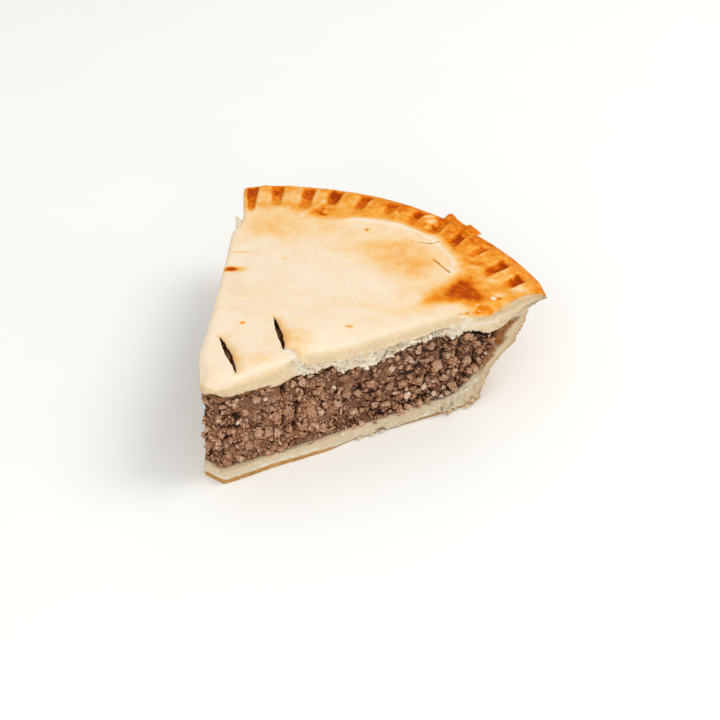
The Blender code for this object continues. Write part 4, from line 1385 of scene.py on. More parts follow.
def meat_finish(name, colours):
    """Cooked mince: `tint` sets how pale a piece is, and the stored painted shade darkens it where
    it lies closed in.
    """
    look = Finish(name)
    grains = look.knobs(0.00085)
    mottle = look.spread(look.noise(0.0013, 4.0, 0.65), 0.3, 0.7, -0.30, 0.26)
    tone = look.math("ADD", look.number("tint"), mottle)
    # Painted highlight and shade: each small knob is lighter in its middle and darker at its
    # border, as the bumps below would be lit.
    tone = look.math("ADD", tone, look.spread(grains, 0.15, 0.75, 0.18, -0.30), clamp=True)
    dark = tuple(colours.meat_shade)
    meat = tuple(colours.meat)
    pale = tuple(colours.pale_meat)
    colour = look.ramp(tone, (
        (0.0, (meat[0] * 0.50, meat[1] * 0.42, meat[2] * 0.38)), (0.25, scaled(meat, 0.78)),
        (0.5, meat), (0.75, between(meat, pale, 0.5)), (0.92, pale),
        (1.0, (0.88, 0.74, 0.60))))
    warm = look.spread(look.noise(0.005, 2.0), 0.42, 0.6)
    colour = look.mix(warm, colour, (1.0, 0.96, 0.88), "MULTIPLY")
    # Painted shade: closed-in places and undersides turn brown, and the deepest turn to the shade
    # colour.
    pit = look.math("ADD", look.number("pit"),
                    look.spread(look.noise(0.0008, 3.0), 0.3, 0.7, -0.14, 0.14), clamp=True)
    shade_tone = look.ramp(pit, ((0.0, (1.0, 1.0, 1.0)), (0.35, (0.82, 0.67, 0.54)),
                            (0.70, (0.36, 0.17, 0.08)), (1.0, (0.08, 0.03, 0.01))))
    colour = look.mix(1.0, colour, shade_tone, "MULTIPLY")
    colour = look.mix(look.spread(pit, 0.7, 1.0, 0.0, 0.9), colour, dark)
    wet = look.spread(look.noise(0.0018, 2.0), 0.35, 0.65, 0.38, 0.64)
    lumpy = look.bump(look.spread(grains, 0.0, 0.8, 1.0, 0.0), 0.9, 0.00045)
    soft = look.bump(look.noise(0.0011, 3.0), 0.5, 0.0006, lumpy)
    return look.finished(colour, roughness=wet, specular=0.45,
                         normal=look.bump(look.noise(0.00035, 3.0, 0.7), 0.6, 0.0002, soft))


def outside_cuts(points):
    """How far points stand out of the nearest cut plane, in millimetres."""
    x, y = flat_place(points)
    left = -(x + LEFT_SPREAD) * CUT_COS - y * CUT_SIN
    return np.maximum(np.maximum(x * CUT_COS - y * CUT_SIN, left), MEAT_TIP - y)


def gap_depth(points):
    """How deep the gaps between lumps reach into the right cut, at each point."""
    x, y = flat_place(points)
    out = np.hypot(x, y)
    away = np.abs(y * CUT_SIN - x * CUT_COS)
    depth = np.zeros(np.shape(x))
    for radius, height, wide, tall in VOIDS:
        reach = np.hypot((out - radius) / wide, (points[..., 2] - height) / tall)
        close = reach < 3.0
        if close.any():
            reach[close] += 0.45 * rough(points[close], 1.6, 71)
            depth = np.maximum(depth, climb(reach, 1.45, 0.95))
    return depth * climb(away, 4.0, 3.0)


def make_meat_core(colours):
    """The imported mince, with lumps and crevices in its cut faces."""
    across, along, thick = 32, 328, 92
    angles = HALF_ANGLE * np.linspace(-1.0, 1.0, across + 1)
    lengths = run_lengths(MEAT_PROFILE)
    at = np.linspace(0.0, lengths[-1], along + 1)
    (angle, nominal), (_, low), (_, clear) = (
        np.meshgrid(angles, smooth_through(lengths, values, at), indexing="ij")
        for values in zip(*MEAT_PROFILE))
    radius = spread(nominal, angle, MEAT_TIP)
    under = place(radius, angle, low)
    high = lid_under(nominal, angle) + cut_hang(nominal, angle) - clear
    top = place(radius, angle, high + 0.4 * rough(place(radius, angle, high), 3.0, 60))
    shell = Shell(across, along, thick, 4, 4)
    walls = shell.columns(top, under)
    face, share, out = wall_frame(shell, angles)
    wall_radius = shell.wide(radius)
    coarse_zone = climb(wall_radius, 28.0, COARSE_RADIUS)
    broad = rough(walls, 9.0, 61)
    bent = shaken(shaken(walls, 3.0, 1.2, 62), 1.1, 0.45, 66)
    gap_big, mark_big = cells(bent, 4.8, 1)
    gap_small, mark_small = cells(bent, 1.9, 2)
    fine = rough(walls, 0.8, 65)
    round_big = np.sqrt(unit(gap_big / 0.45))
    round_small = np.sqrt(unit(gap_small / 0.5))
    opened = ease(0.34 + 1.2 * rough(walls, 6.0, 69) + 0.30 * coarse_zone)
    crack = opened * climb(gap_big, 0.32, 0.14)
    body = ease(share / 0.012 + 0.25) * ease((1.0 - share) / 0.012 + 0.25)
    push = 0.5 * broad + (0.4 + 0.5 * coarse_zone) * (round_big - 0.85)
    push += 0.8 * (round_small - 0.8) + (0.5 + 0.6 * coarse_zone) * (mark_big - 0.5)
    push += 0.5 * (mark_small - 0.5) + 0.25 * fine
    low_front = climb(wall_radius, 46.0, 36.0) * climb(walls[..., 2], 13.0, 6.0)
    push = push - 0.45 - 1.0 * coarse_zone + 0.6 * low_front * (face == 1)
    deep = np.maximum(gap_depth(walls) * (face == 1), (0.55 + 0.25 * coarse_zone) * crack)
    push = push * (1 - deep) - 3.2 * deep
    push = push * body * (face != 2)
    walls += out[:, None, :] * push[..., None]
    tint = 0.46 + 0.42 * (mark_small - 0.5) + 0.20 * (mark_big - 0.5)
    tint += 0.16 * rough(walls, 8.0, 75) - 0.20 * coarse_zone
    points = shell.join(top, under, walls)
    mesh = mesh_from("mince_core", points, shell.faces)
    none = np.zeros_like(nominal)
    on_cut = (face != 2) * (1.0 - ease(deep * (2.6 - 1.5 * coarse_zone)))
    store(mesh,
          tint=shell.join(none + 0.35, none + 0.35, unit(tint)),
          strew=shell.join(none, none, on_cut))
    mesh.materials.append(meat_finish("packed mince", colours))
    core = link("mince_core", mesh)
    finish_piece(core, "meat_filling", "meat_filling")
    return core


def lump_mesh(name, seed, detail, ragged=1.0, squash=0.85):
    """Small broken chunk, one unit in half width."""
    data = bmesh.new()
    bmesh.ops.create_icosphere(data, subdivisions=detail, radius=1.0)
    chance = np.random.default_rng(seed)
    cuts = [(Vector(chance.normal(size=3)).normalized(), chance.uniform(0.45, 0.85))
            for _ in range(7)]
    layers = ((2.0, 0.42), (4.2, 0.32), (8.0, 0.20))[:max(1, detail - 1)]
    for vert in data.verts:
        spot = vert.co.copy()
        for way, depth in cuts:
            spot -= way * (0.8 * max(0.0, spot.dot(way) - depth))
        swell = 0.30 * noise.noise(spot * 1.1 + Vector((seed, 0, 0)))
        for pitch, depth in layers:
            knob = abs(noise.noise(spot * pitch + Vector((0, seed * 1.7, pitch))))
            swell += ragged * depth * (knob - 0.22) * 1.6
        vert.co = spot * (1.0 + swell)
    reach = max(max(abs(part) for part in vert.co) for vert in data.verts)
    for vert in data.verts:
        vert.co /= reach
        vert.co.z *= squash
    for face in data.faces:
        face.smooth = True
    return mesh_of(name, data)


def strew_tree():
    """Tree that strews the shapes of a collection over a surface."""
    tree = bpy.data.node_groups.get("strew shapes")
    if tree is not None:
        return tree
    tree = bpy.data.node_groups.new("strew shapes", "GeometryNodeTree")
    kinds = {"Surface": "Geometry", "Shapes": "Collection", "Seed": "Int", "Finish": "Material"}
    for name in ("Surface", "Shapes", "Spacing", "Density", "Smallest", "Largest", "Lowest",
                 "Highest", "Tumble", "Stretch", "Seed", "Finish"):
        tree.interface.new_socket(name=name, in_out="INPUT",
                                  socket_type="NodeSocket" + kinds.get(name, "Float"))
    tree.interface.new_socket(name="Strewn", in_out="OUTPUT", socket_type="NodeSocketGeometry")

    def node(kind, inputs, **settings):
        return add_node(tree, kind, inputs, **settings).outputs

    def random_number(low, high, seed_add):
        made = add_node(tree, "FunctionNodeRandomValue", {}, data_type="FLOAT")
        numbers = [s for s in made.inputs if s.enabled][:2]
        seed = node("ShaderNodeMath", {0: given["Seed"], 1: seed_add}, operation="ADD")[0]
        for socket, value in zip((*numbers, made.inputs["Seed"]), (low, high, seed)):
            feed(socket, value)
        return shown(made.outputs)

    given = node("NodeGroupInput", {})
    weight = node("GeometryNodeInputNamedAttribute", {"Name": "strew"}, data_type="FLOAT")
    spots = node("GeometryNodeDistributePointsOnFaces", {
        "Mesh": given["Surface"], "Distance Min": given["Spacing"],
        "Density Max": given["Density"], "Density Factor": shown(weight, "Attribute"),
        "Seed": given["Seed"]}, distribute_method="POISSON")
    lift = node("ShaderNodeVectorMath", {
        0: spots["Normal"], "Scale": random_number(given["Lowest"], given["Highest"], 11)},
        operation="SCALE")
    moved = node("GeometryNodeSetPosition", {"Geometry": spots["Points"], "Offset": lift[0]})

    turns = {axis: node("ShaderNodeMath", {
        0: random_number(-math.pi, math.pi, seed_add), 1: given["Tumble"]},
        operation="MULTIPLY")[0] for axis, seed_add in (("X", 21), ("Y", 22))}
    turns["Z"] = random_number(-math.pi, math.pi, 23)
    euler = node("FunctionNodeEulerToRotation", {0: node("ShaderNodeCombineXYZ", turns)[0]})
    rotation = node("FunctionNodeRotateRotation", {0: spots["Rotation"], 1: euler[0]},
                    rotation_space="LOCAL")

    skew = node("ShaderNodeMath", {0: random_number(0.0, 1.0, 31), 1: 1.6}, operation="POWER")
    span = node("ShaderNodeMapRange", {
        "Value": skew[0], "To Min": given["Smallest"], "To Max": given["Largest"]})
    shrink = node("ShaderNodeMath", {0: 2.0, 1: given["Stretch"]}, operation="SUBTRACT")
    stretch = node("ShaderNodeCombineXYZ", {
        axis: random_number(shrink[0], given["Stretch"], seed_add)
        for axis, seed_add in (("X", 41), ("Y", 42), ("Z", 43))})
    scale = node("ShaderNodeVectorMath", {0: stretch[0], "Scale": span["Result"]},
                 operation="SCALE")

    shapes = node("GeometryNodeCollectionInfo", {
        "Collection": given["Shapes"], "Separate Children": True, "Reset Children": True},
        transform_space="ORIGINAL")
    copies = node("GeometryNodeInstanceOnPoints", {
        "Points": moved["Geometry"], "Instance": shapes[0], "Pick Instance": True,
        "Rotation": rotation[0], "Scale": scale[0]})
    tint = add_node(tree, "GeometryNodeStoreNamedAttribute", {
        "Geometry": copies["Instances"], "Name": "tint"}, data_type="FLOAT",
        domain="INSTANCE")
    feed(shown(tint.inputs, "Value"), random_number(0.0, 1.0, 51))
    real = node("GeometryNodeRealizeInstances", {"Geometry": tint.outputs["Geometry"]})
    dressed = node("GeometryNodeSetMaterial", {
        "Geometry": real["Geometry"], "Material": given["Finish"]})
    node("NodeGroupOutput", {"Strewn": dressed["Geometry"]})
    return tree


def strew(name, surface, weights, shapes, finish, seed, **inputs):
    """Strews copies of the shapes over a surface's mesh, and returns them as one object."""
    mesh = surface.data.copy()
    store(mesh, strew=weights)
    holder = link(name + "_holder", mesh)
    group = bpy.data.collections.new(name + "_shapes")
    for number, shape in enumerate(shapes):
        group.objects.link(bpy.data.objects.new(f"{name}_shape_{number}", shape))
    tree = strew_tree()
    modifier = holder.modifiers.new("strew", "NODES")
    modifier.node_group = tree
    values = {"Shapes": group, "Seed": seed, "Finish": finish,
              "Tumble": 1.0, "Stretch": 1.3, "Lowest": 0.0, "Highest": 0.0}
    values.update({key.capitalize(): value for key, value in inputs.items()})
    for item in tree.interface.items_tree:
        if item.in_out == "INPUT" and item.name in values:
            modifier[item.identifier] = values[item.name]
    made = evaluated_mesh(holder)
    made.name = name
    holder.modifiers.clear()
    bpy.data.objects.remove(holder, do_unlink=True)
    bpy.data.meshes.remove(mesh)
    for thing in list(group.objects):
        bpy.data.objects.remove(thing, do_unlink=True)
    for shape in shapes:
        bpy.data.meshes.remove(shape)
    bpy.data.collections.remove(group)
    drop(made, "strew", "bake", "flour", "stain", "crumbly", "clods")
    if not made.materials:
        made.materials.append(finish)
    return link(name, made)


def drop(mesh, *names):
    """Removes numbers stored on a mesh that nothing needs any more."""
    for name in names:
        if name in mesh.attributes:
            mesh.attributes.remove(mesh.attributes[name])


def read(mesh, name):
    """Numbers stored on a mesh's points."""
    values = np.empty(len(mesh.vertices), np.float32)
    mesh.attributes[name].data.foreach_get("value", values)
    return values


def points_of(mesh):
    """A mesh's points in millimetres."""
    flat = np.empty(len(mesh.vertices) * 3, np.float64)
    mesh.vertices.foreach_get("co", flat)
    return flat.reshape(-1, 3) / MM


def move_points(mesh, spots):
    """Puts a mesh's points at these places in millimetres."""
    mesh.vertices.foreach_set("co", (spots * MM).ravel())
    mesh.update()


def surface_tree(things):
    """Tree for casting rays among the things' surfaces, in millimetres."""
    spots = []
    faces = []
    count = 0
    for thing in things:
        here = points_of(thing.data)
        corners = np.empty(len(thing.data.loops), np.int32)
        thing.data.loops.foreach_get("vertex_index", corners)
        totals = np.empty(len(thing.data.polygons), np.int32)
        thing.data.polygons.foreach_get("loop_total", totals)
        ends = np.cumsum(totals).tolist()
        corners = (corners + count).tolist()
        starts = [0] + ends[:-1]
        faces += [corners[a:b] for a, b in zip(starts, ends)]
        spots += here.tolist()
        count += len(here)
    return BVHTree.FromPolygons(spots, faces)


SKY_WAY = Vector((0.36, -0.36, 0.86))  # towards most of the light


def crevices(things, around, reach=2.8):
    """Stores painted shade for each point, from how closed in it is by everything round it."""
    tree = surface_tree((*things, *around))

    def shut(rays):
        """For each ray, 0 where it runs free and up to 1 where it hits at once."""
        gaps = [tree.ray_cast(start, way, reach)[3] for start, way in rays]
        return 1.0 - np.array([reach if gap is None else gap for gap in gaps]) / reach

    fan = [(0.0, 0.0, 1.0)]
    fan += [(38.0, 90.0 * n + 20.0, 0.8) for n in range(4)]
    fan += [(66.0, 90.0 * n + 65.0, 0.5) for n in range(4)]
    for thing in things:
        mesh = thing.data
        here = points_of(mesh)
        normals = np.empty(len(here) * 3, np.float64)
        mesh.vertex_normals.foreach_get("vector", normals)
        normals = normals.reshape(-1, 3)
        pit = np.ones(len(here))
        in_reach = outside_cuts(here) > -4.0
        spots = here[in_reach]
        ways = normals[in_reach]
        across = np.cross(ways, (0.31, 0.17, 0.93))
        across /= np.linalg.norm(across, axis=1)[:, None] + 1e-9
        over = np.cross(ways, across)
        starts = (spots + 0.05 * ways).tolist()
        closed = np.zeros(len(spots))
        for tilt, turn, weight in fan:
            tilt = math.radians(tilt)
            turn = math.radians(turn)
            cast = math.cos(tilt) * ways + math.sin(tilt) * (
                math.cos(turn) * across + math.sin(turn) * over)
            closed += weight * shut(zip(starts, cast.tolist()))
        closed /= sum(weight for _, _, weight in fan)
        # Painted shadow: points whose way towards the light is shut are darkened, and deep gaps are
        # darkened too, all as painted shade.
        above = shut((start, SKY_WAY) for start in starts)
        closed = 0.8 * closed + 0.34 * above + 0.5 * gap_depth(spots)
        reach_out = np.hypot(*flat_place(spots))
        low = 0.36 - 0.17 * climb(reach_out, 30.0, 60.0) - 0.16 * rough(spots, 3.5, 72)
        pit[in_reach] = ease((closed - low) / 0.33)
        store(mesh, pit=pit)


def placed_lumps(name, lumps, finish):
    """Joins ragged lumps, each a seed, a detail, a place, a way out, half sizes and tint."""
    data = bmesh.new()
    tints = []
    for seed, detail, ragged, spot, way, halves, tint in lumps:
        mesh = lump_mesh("lump", seed, detail, ragged, 1.0)
        way = Vector(way).normalized()
        along = Vector((0, 0, 1)).cross(way)
        if along.length < 0.1:
            along = Vector((1, 0, 0))
        along.normalize()
        up = way.cross(along)
        lie = Matrix((along * halves[0], up * halves[1], way * halves[2]))
        move = lie.transposed().to_4x4()
        move.translation = Vector(spot)
        mesh.transform(move)
        tints += [tint] * len(mesh.vertices)
        data.from_mesh(mesh)
        bpy.data.meshes.remove(mesh)
    for vert in data.verts:
        vert.co *= MM
    mesh = mesh_of(name, data)
    fix_normals(mesh)
    store(mesh, tint=tints)
    mesh.materials.append(finish)
    return link(name, mesh)


def on_right_cut(radius, height, out=0.0):
    """A place on the right cut, moved outwards."""
    return place(radius, HALF_ANGLE, height) + out * RIGHT_WAY


def make_mince(core, sizes, colours):
    """Lumps, granules and fine crumbs of mince strewn over the cut faces of the core."""
    finish = meat_finish("mince", colours)
    spots = points_of(core.data)
    x, y = flat_place(spots)
    radius = np.hypot(x, y)
    on_cut = read(core.data, "strew")
    by_right = ease(4.0 + x * CUT_COS - y * CUT_SIN)
    patchy = ease(0.5 + 1.1 * rough(spots, 12.0, 70))
    coarse_zone = climb(radius, 28.0, COARSE_RADIUS)
    bare = ease(0.3 + 1.8 * rough(spots, 8.0, 74)) * (1.0 - 0.95 * coarse_zone)
    chunks = []
    for number, (r, z, wide, tall, tint) in enumerate(CHUNKS):
        size = np.array((wide, tall, wide * 0.75)) * (0.96 if r > COARSE_RADIUS else 1.02)
        covered = np.hypot((radius - r) / size[0], (spots[:, 2] - z) / size[1]) * 1.15
        on_cut *= (1.0 - by_right * climb(covered, 1.0, 0.75))
        chunks.append((400 + number, 4 if wide * tall > 3.2 else 3, 0.9,
                       on_right_cut(r, z, -0.45 * size[0]), RIGHT_WAY, tuple(size),
                       tint + (0.14 if r > COARSE_RADIUS else 0.06)))
    made = [placed_lumps("mince_chunks", chunks, finish)]
    passes = (
        ("mince_lumps", 0.10 + 0.25 * patchy + 0.65 * coarse_zone, 3, 12, sizes.lump_size,
         1.95, 4.0e5, -0.3, 0.9),
        ("mince_granules", (0.95 - 0.22 * coarse_zone) * (1.0 - 0.85 * bare), 2, 12,
         sizes.granule_size, 1.05, 1.2e6, -0.35, 0.35),
        ("mince_crumbs", (0.9 - 0.6 * coarse_zone) * (1.0 - 0.6 * bare), 1, 8, sizes.crumb_size,
         0.85, 1.2e6, -0.15, 0.35),
    )
    for number, (name, weight, detail, kinds, size, apart, density, low, top) in enumerate(
            passes):
        shapes = [lump_mesh(f"{name}_{n}", 100 * (number + 1) + n, detail)
                  for n in range(kinds)]
        thing = strew(name, core, on_cut * weight, shapes, finish, sizes.seed + number,
                      spacing=apart * MM, density=density, smallest=size * 0.5,
                      largest=size * 1.3, lowest=low * MM, highest=top * MM, stretch=1.42)
        here = points_of(thing.data)
        far = climb(np.hypot(*flat_place(here)), 55.0, 67.0)
        chance = read(thing.data, "tint")
        tint = 0.20 + 0.12 * far + (0.64 - 0.04 * number) * chance
        store(thing.data, tint=tint + 0.16 * rough(here, 8.0, 75))
        here -= 2.6 * gap_depth(here)[:, None] * RIGHT_WAY
        move_points(thing.data, here)
        made.append(thing)
    for thing in made:
        finish_piece(thing, "meat_filling")
    around = [bpy.data.objects["lid_pastry"], bpy.data.objects["bottom_pastry"]]
    crevices([core, *made], around)
    return made


# ---- juice, crumbs and flakes ----

# Height, thickness and mesh step of the juice under the slits.
POOL_HIGH = 35.4
POOL_THICK = 1.4
POOL_STEP = 0.5

# Thickness and mesh step of a torn flake, and how far its held part is sunk in the lid.
FLAKE_THICK = 0.45
FLAKE_STEP = 0.4
FLAKE_SUNK = 0.42
ABOVE_ALL = 60.0  # a height over every piece, from which rays are cast down


def gravy_finish(colours):
    """Set meat juice, dark amber and glossy."""
    look = Finish("gravy", 0.22)
    shade = look.spread(look.noise(0.0022, 3.0), 0.35, 0.65)
    colour = look.mix(shade, scaled(colours.gravy, 0.10), scaled(colours.gravy, 0.85))
    return look.finished(colour, specular=0.4,
                         normal=look.bump(look.noise(0.0012), 0.5, 0.0004))


def bead(name, path, ways, talls, deep):
    """Closed strip along a path, bulging the given way out of the cut."""
    around = 12
    points = []
    for number, (spot, way, tall) in enumerate(zip(path, ways, talls)):
        share = number / (len(path) - 1)
        taper = 0.05 + 0.95 * float(climb(min(share, 1 - share), 0.0, 0.06))
        for turn in np.linspace(0.0, 2.0 * math.pi, around, endpoint=False):
            swell = 1.0 + 0.25 * noise.noise(Vector((number * 0.35, turn, 3.0)))
            points.append(spot + way * deep * taper * math.cos(turn) * swell
                          + np.array((0.0, 0.0, tall * taper * math.sin(turn) * swell)))
    faces = []
    for number in range(len(path) - 1):
        for step in range(around):
            after = (step + 1) % around
            a = number * around
            b = a + around
            faces.append((a + step, a + after, b + after, b + step))
    faces.append(tuple(range(around - 1, -1, -1)))
    last = (len(path) - 1) * around
    faces.append(tuple(range(last, last + around)))
    mesh = mesh_from(name, points, faces)
    fix_normals(mesh)
    return mesh


def make_gravy(colours):
    """Juice that has set between the lid and the mince at the point and under the slits."""
    finish = gravy_finish(colours)
    left = place(MEAT_TIP + 1.2, -26.0, 0.0)
    front = place(MEAT_TIP, 4.0, 0.0)
    corner = on_right_cut(MEAT_TIP + 0.8, 0.0)
    path = [left + (front - left) * share for share in np.linspace(0.0, 1.0, 8)]
    path += [front + (corner - front) * share for share in np.linspace(0.2, 0.8, 3)]
    path += [on_right_cut(radius, 0.0) for radius in np.linspace(MEAT_TIP + 1.2, 23.5, 34)]
    ways = [np.array((-0.25, -0.97, 0.0))] * 8 + [np.array((0.5, -0.86, 0.0))] * 3
    ways += [RIGHT_WAY] * 34
    talls = np.interp(np.arange(len(path)), (0, 8, 14, 30, 44), (1.1, 0.75, 0.45, 0.4, 0.25))
    for number, spot in enumerate(path):
        reach = float(np.hypot(*flat_place(spot)))
        under = float(np.interp(reach, (5.0, 8.0, 30.0), (31.9, 30.9, 30.8)))
        spot[2] = under - talls[number] + 0.1 + 0.25 * noise.noise(Vector((number * 0.4, 9, 0)))
    film = link("gravy_film", bead("gravy_film", path, ways, talls, 0.5))
    film.data.materials.append(finish)
    finish_piece(film, "meat_filling")
    made = [film]
    for number, (start, end) in enumerate(SLITS, start=1):
        along = np.array(end) - np.array(start)
        length = np.hypot(*along)
        across = np.array((-along[1], along[0])) / length
        outline = []
        for turn in np.linspace(0.0, 2.0 * math.pi, 22, endpoint=False):
            wide = 1.9 + 0.5 * noise.noise(Vector((math.cos(turn) * 2, math.sin(turn) * 2, number)))
            spot = np.array(start) + along * (0.5 - 0.56 * math.cos(turn))
            outline.append(tuple(spot + across * wide * math.sin(turn)))
        mesh = sheet(f"gravy_pool_{number}", outline, lambda x, y: POOL_HIGH,
                     lambda x, y: 1.3 * noise.noise(Vector((x * 0.7, y * 0.7, 4.0))),
                     POOL_THICK, POOL_STEP)
        mesh.materials.append(finish)
        pool = link(mesh.name, mesh)
        finish_piece(pool, "meat_filling")
        made.append(pool)
    return made


def sheet(name, outline, ground, lift, thickness, step):
    """Thin piece inside an outline of x and y from the pie's axis, above the ground."""
    ring = []
    closed = [*outline, outline[0]]
    for (ax, ay), (bx, by) in zip(closed[:-1], closed[1:]):
        count = max(1, round(math.hypot(bx - ax, by - ay) / step))
        for n in range(count):
            x = ax + (bx - ax) * n / count
            y = ay + (by - ay) * n / count
            jag = step * 0.35 * noise.noise(Vector((x * 1.9, y * 1.9, 5.0)))
            ring.append((x + jag, y - jag))
    xs, ys = np.array(ring).T
    grid = [(x, y) for x in np.arange(xs.min(), xs.max(), step)
            for y in np.arange(ys.min(), ys.max(), step)]
    depth = inside_distance(*np.array(grid).T, ring)
    inner = [spot for spot, gap in zip(grid, depth) if gap > 0.5 * step]
    edges = [(n, (n + 1) % len(ring)) for n in range(len(ring))]
    flat, _, faces, *_ = delaunay_2d_cdt([Vector(p) for p in ring + inner], edges, [], 1, 1e-5)
    count = len(flat)
    gaps = inside_distance(*np.array([tuple(p) for p in flat]).T, ring)
    tops = []
    unders = []
    for spot, gap in zip(flat, gaps):
        low = ground(spot.x, spot.y) + lift(spot.x, spot.y)
        full = thickness * (0.35 + 0.65 * float(ease(gap / (2.5 * thickness) + 0.05)))
        unders.append((spot.x + AXIS_X, spot.y + AXIS_Y, low))
        tops.append((spot.x + AXIS_X, spot.y + AXIS_Y, low + full))
    every = []
    border = {}
    for face in faces:
        a, b, c = (flat[n] for n in face)
        if (b - a).cross(c - a) < 0:
            face = face[::-1]
        every.append(tuple(face))
        every.append(tuple(n + count for n in face[::-1]))
        for n in range(3):
            edge = (face[n], face[(n + 1) % 3])
            if edge[::-1] in border:
                del border[edge[::-1]]
            else:
                border[edge] = True
    every += [(a, a + count, b + count, b) for a, b in border]
    return mesh_from(name, tops + unders, every)


def make_flakes(lid, colours):
    """Torn flakes of skin that stand up from the lid."""
    tree = surface_tree([lid])

    def ground(x, y):
        reach = math.hypot(x, y)
        limit = float(rim_radius(math.degrees(math.atan2(x, y)))) - 0.3
        pull = min(1.0, limit / reach)
        hit = tree.ray_cast((x * pull + AXIS_X, y * pull + AXIS_Y, ABOVE_ALL),
                            (0.0, 0.0, -1.0))[0]
        return hit.z if hit else LID_HIGH[2] / MM - 3.6

    finish = pastry_finish("flakes", colours, lid_stops(colours))
    lid_bake = read(lid.data, "bake")
    data = bmesh.new()
    bakes = []
    flours = []
    for number, (outline, held, rise, bake, flour) in enumerate(FLAKES):
        def lift(x, y):
            curl = 0.3 * noise.noise(Vector((x * 0.4, y * 0.4, number + 0.5)))
            away = math.hypot(x, y) - held
            return -FLAKE_SUNK + rise * away + curl * max(0.0, min(1.0, away / 4.0))

        mesh = sheet("flake", outline, ground, lift, FLAKE_THICK, FLAKE_STEP)
        spots = points_of(mesh)
        x, y = flat_place(spots)
        edge = climb(inside_distance(x, y, outline), 0.5, 0.0)
        edge *= ease((np.hypot(x, y) - held) / 1.0)
        if bake is None:
            pull = np.minimum(1.0, (rim_radius(np.degrees(np.arctan2(x, y))) - 2.5)
                              / np.hypot(x, y))
            below = np.stack([x * pull + AXIS_X, y * pull + AXIS_Y, spots[:, 2]], axis=-1)
            faces = [tree.find_nearest(spot)[2] for spot in below.tolist()]
            tone = np.array([lid_bake[lid.data.polygons[n].vertices[0]] for n in faces])
        else:
            tone = np.full(len(spots), bake)
        tone = np.minimum(tone, 0.72) + 0.10 * rough(spots, 1.6, 80 + number)
        bakes.append(tone - 0.10 * edge)
        flours.append(unit(flour + 0.10 * edge))
        data.from_mesh(mesh)
        bpy.data.meshes.remove(mesh)
    mesh = mesh_of("torn_flakes", data)
    fix_normals(mesh)
    mesh.polygons.foreach_set("use_smooth", [True] * len(mesh.polygons))
    store(mesh, bake=unit(np.concatenate(bakes)), flour=np.concatenate(flours),
          stain=np.zeros(len(mesh.vertices)))
    mesh.materials.append(finish)
    flakes = link("torn_flakes", mesh)
    finish_piece(flakes, "lid_crust")
    return flakes


def make_pastry_crumbs(lid, crust, sizes, colours):
    """Crumbs and clods that cling to the torn edges of both crusts."""
    size = sizes.pastry_crumb_size
    finish = pastry_finish("pastry crumbs", colours, lid_stops(colours))
    base_finish = pastry_finish("base crumbs", colours, lid_stops(colours), colours.cut_base)
    made = []
    for name, surface, weight, look, slot, seed, detail, grow in (
            ("lid_crumbs", lid, "crumbly", finish, "lid_crust", 500, 2, 1.0),
            ("lid_clods", lid, "clods", finish, "lid_crust", 540, 3, 1.9),
            ("base_crumbs", crust, "crumbly", base_finish, "bottom_crust", 520, 2, 1.0)):
        shapes = [lump_mesh(f"{name}_{n}", seed + n, detail, 1.0, 0.75) for n in range(8)]
        thing = strew(name, surface, read(surface.data, weight), shapes, look,
                      sizes.seed + seed, spacing=size * grow * 1.4, density=1.3e6 / grow ** 2,
                      smallest=size * grow * 0.5, largest=size * grow * 1.5,
                      lowest=-size * grow * 0.6, highest=size * grow * 0.15, stretch=1.45)
        tint = read(thing.data, "tint")
        browner = 0.05 * tint if surface is lid else 0.10 + 0.34 * tint ** 2
        store(thing.data, bake=browner, flour=np.ones(len(tint)), stain=np.zeros(len(tint)))
        finish_piece(thing, slot)
        made.append(thing)
    for thing in (lid, crust):
        drop(thing.data, "crumbly", "clods")
    return made


LOOSE_PASTRY = (
    # how far out, height, out of the cut, half width, half height, browning
    (84.6, 1.5, 0.7, 1.2, 0.5, 0.10), (91.0, 1.2, 1.0, 1.1, 0.7, 0.30),
    (93.0, 2.6, 0.8, 1.0, 0.8, 0.36), (94.4, 3.8, 0.7, 0.8, 0.7, 0.30),
    (90.6, 7.6, 0.7, 1.3, 0.6, 0.02), (89.0, 7.2, 0.6, 0.8, 0.5, 0.04),
    (53.0, 0.9, 0.6, 0.9, 0.5, 0.12), (57.5, 0.8, 0.6, 1.2, 0.5, 0.08),
    (61.0, 1.0, 0.5, 0.8, 0.5, 0.10), (47.0, 4.4, 0.5, 0.9, 0.5, 0.03),
    (31.0, 3.4, 0.5, 1.4, 0.5, 0.02),
)
LOOSE_MINCE = (
    (84.3, 1.1, 1.5, 1.3, 0.8, 0.85), (82.0, 2.2, 0.9, 0.8, 0.6, 0.70),
    (36.0, 5.0, 0.9, 0.9, 0.7, 0.65), (58.0, 5.6, 0.9, 1.0, 0.8, 0.55),
    (73.5, 6.4, 0.8, 1.0, 0.8, 0.35), (66.0, 6.0, 0.9, 0.9, 0.7, 0.6),
)


def make_loose_bits(colours):
    """Single crumbs of pastry and mince by the right cut."""
    made = []
    for name, rows, look, slot, seed in (
            ("loose_pastry", LOOSE_PASTRY,
             pastry_finish("loose pastry", colours, lid_stops(colours)), "lid_crust", 600),
            ("loose_mince", LOOSE_MINCE, meat_finish("loose mince", colours),
             "meat_filling", 640)):
        lumps = [(seed + n, 3, 1.3, on_right_cut(r, z, away), RIGHT_WAY,
                  (wide, tall, wide * 0.6), tone)
                 for n, (r, z, away, wide, tall, tone) in enumerate(rows)]
        thing = placed_lumps(name, lumps, look)
        tint = read(thing.data, "tint")
        none = np.zeros(len(tint))
        # The loose bits carry a slight, even painted shade.
        store(thing.data, bake=tint, flour=0.95 - 0.9 * tint, stain=none, pit=none + 0.1)
        finish_piece(thing, slot)
        made.append(thing)
    return made


# ---- stage ----

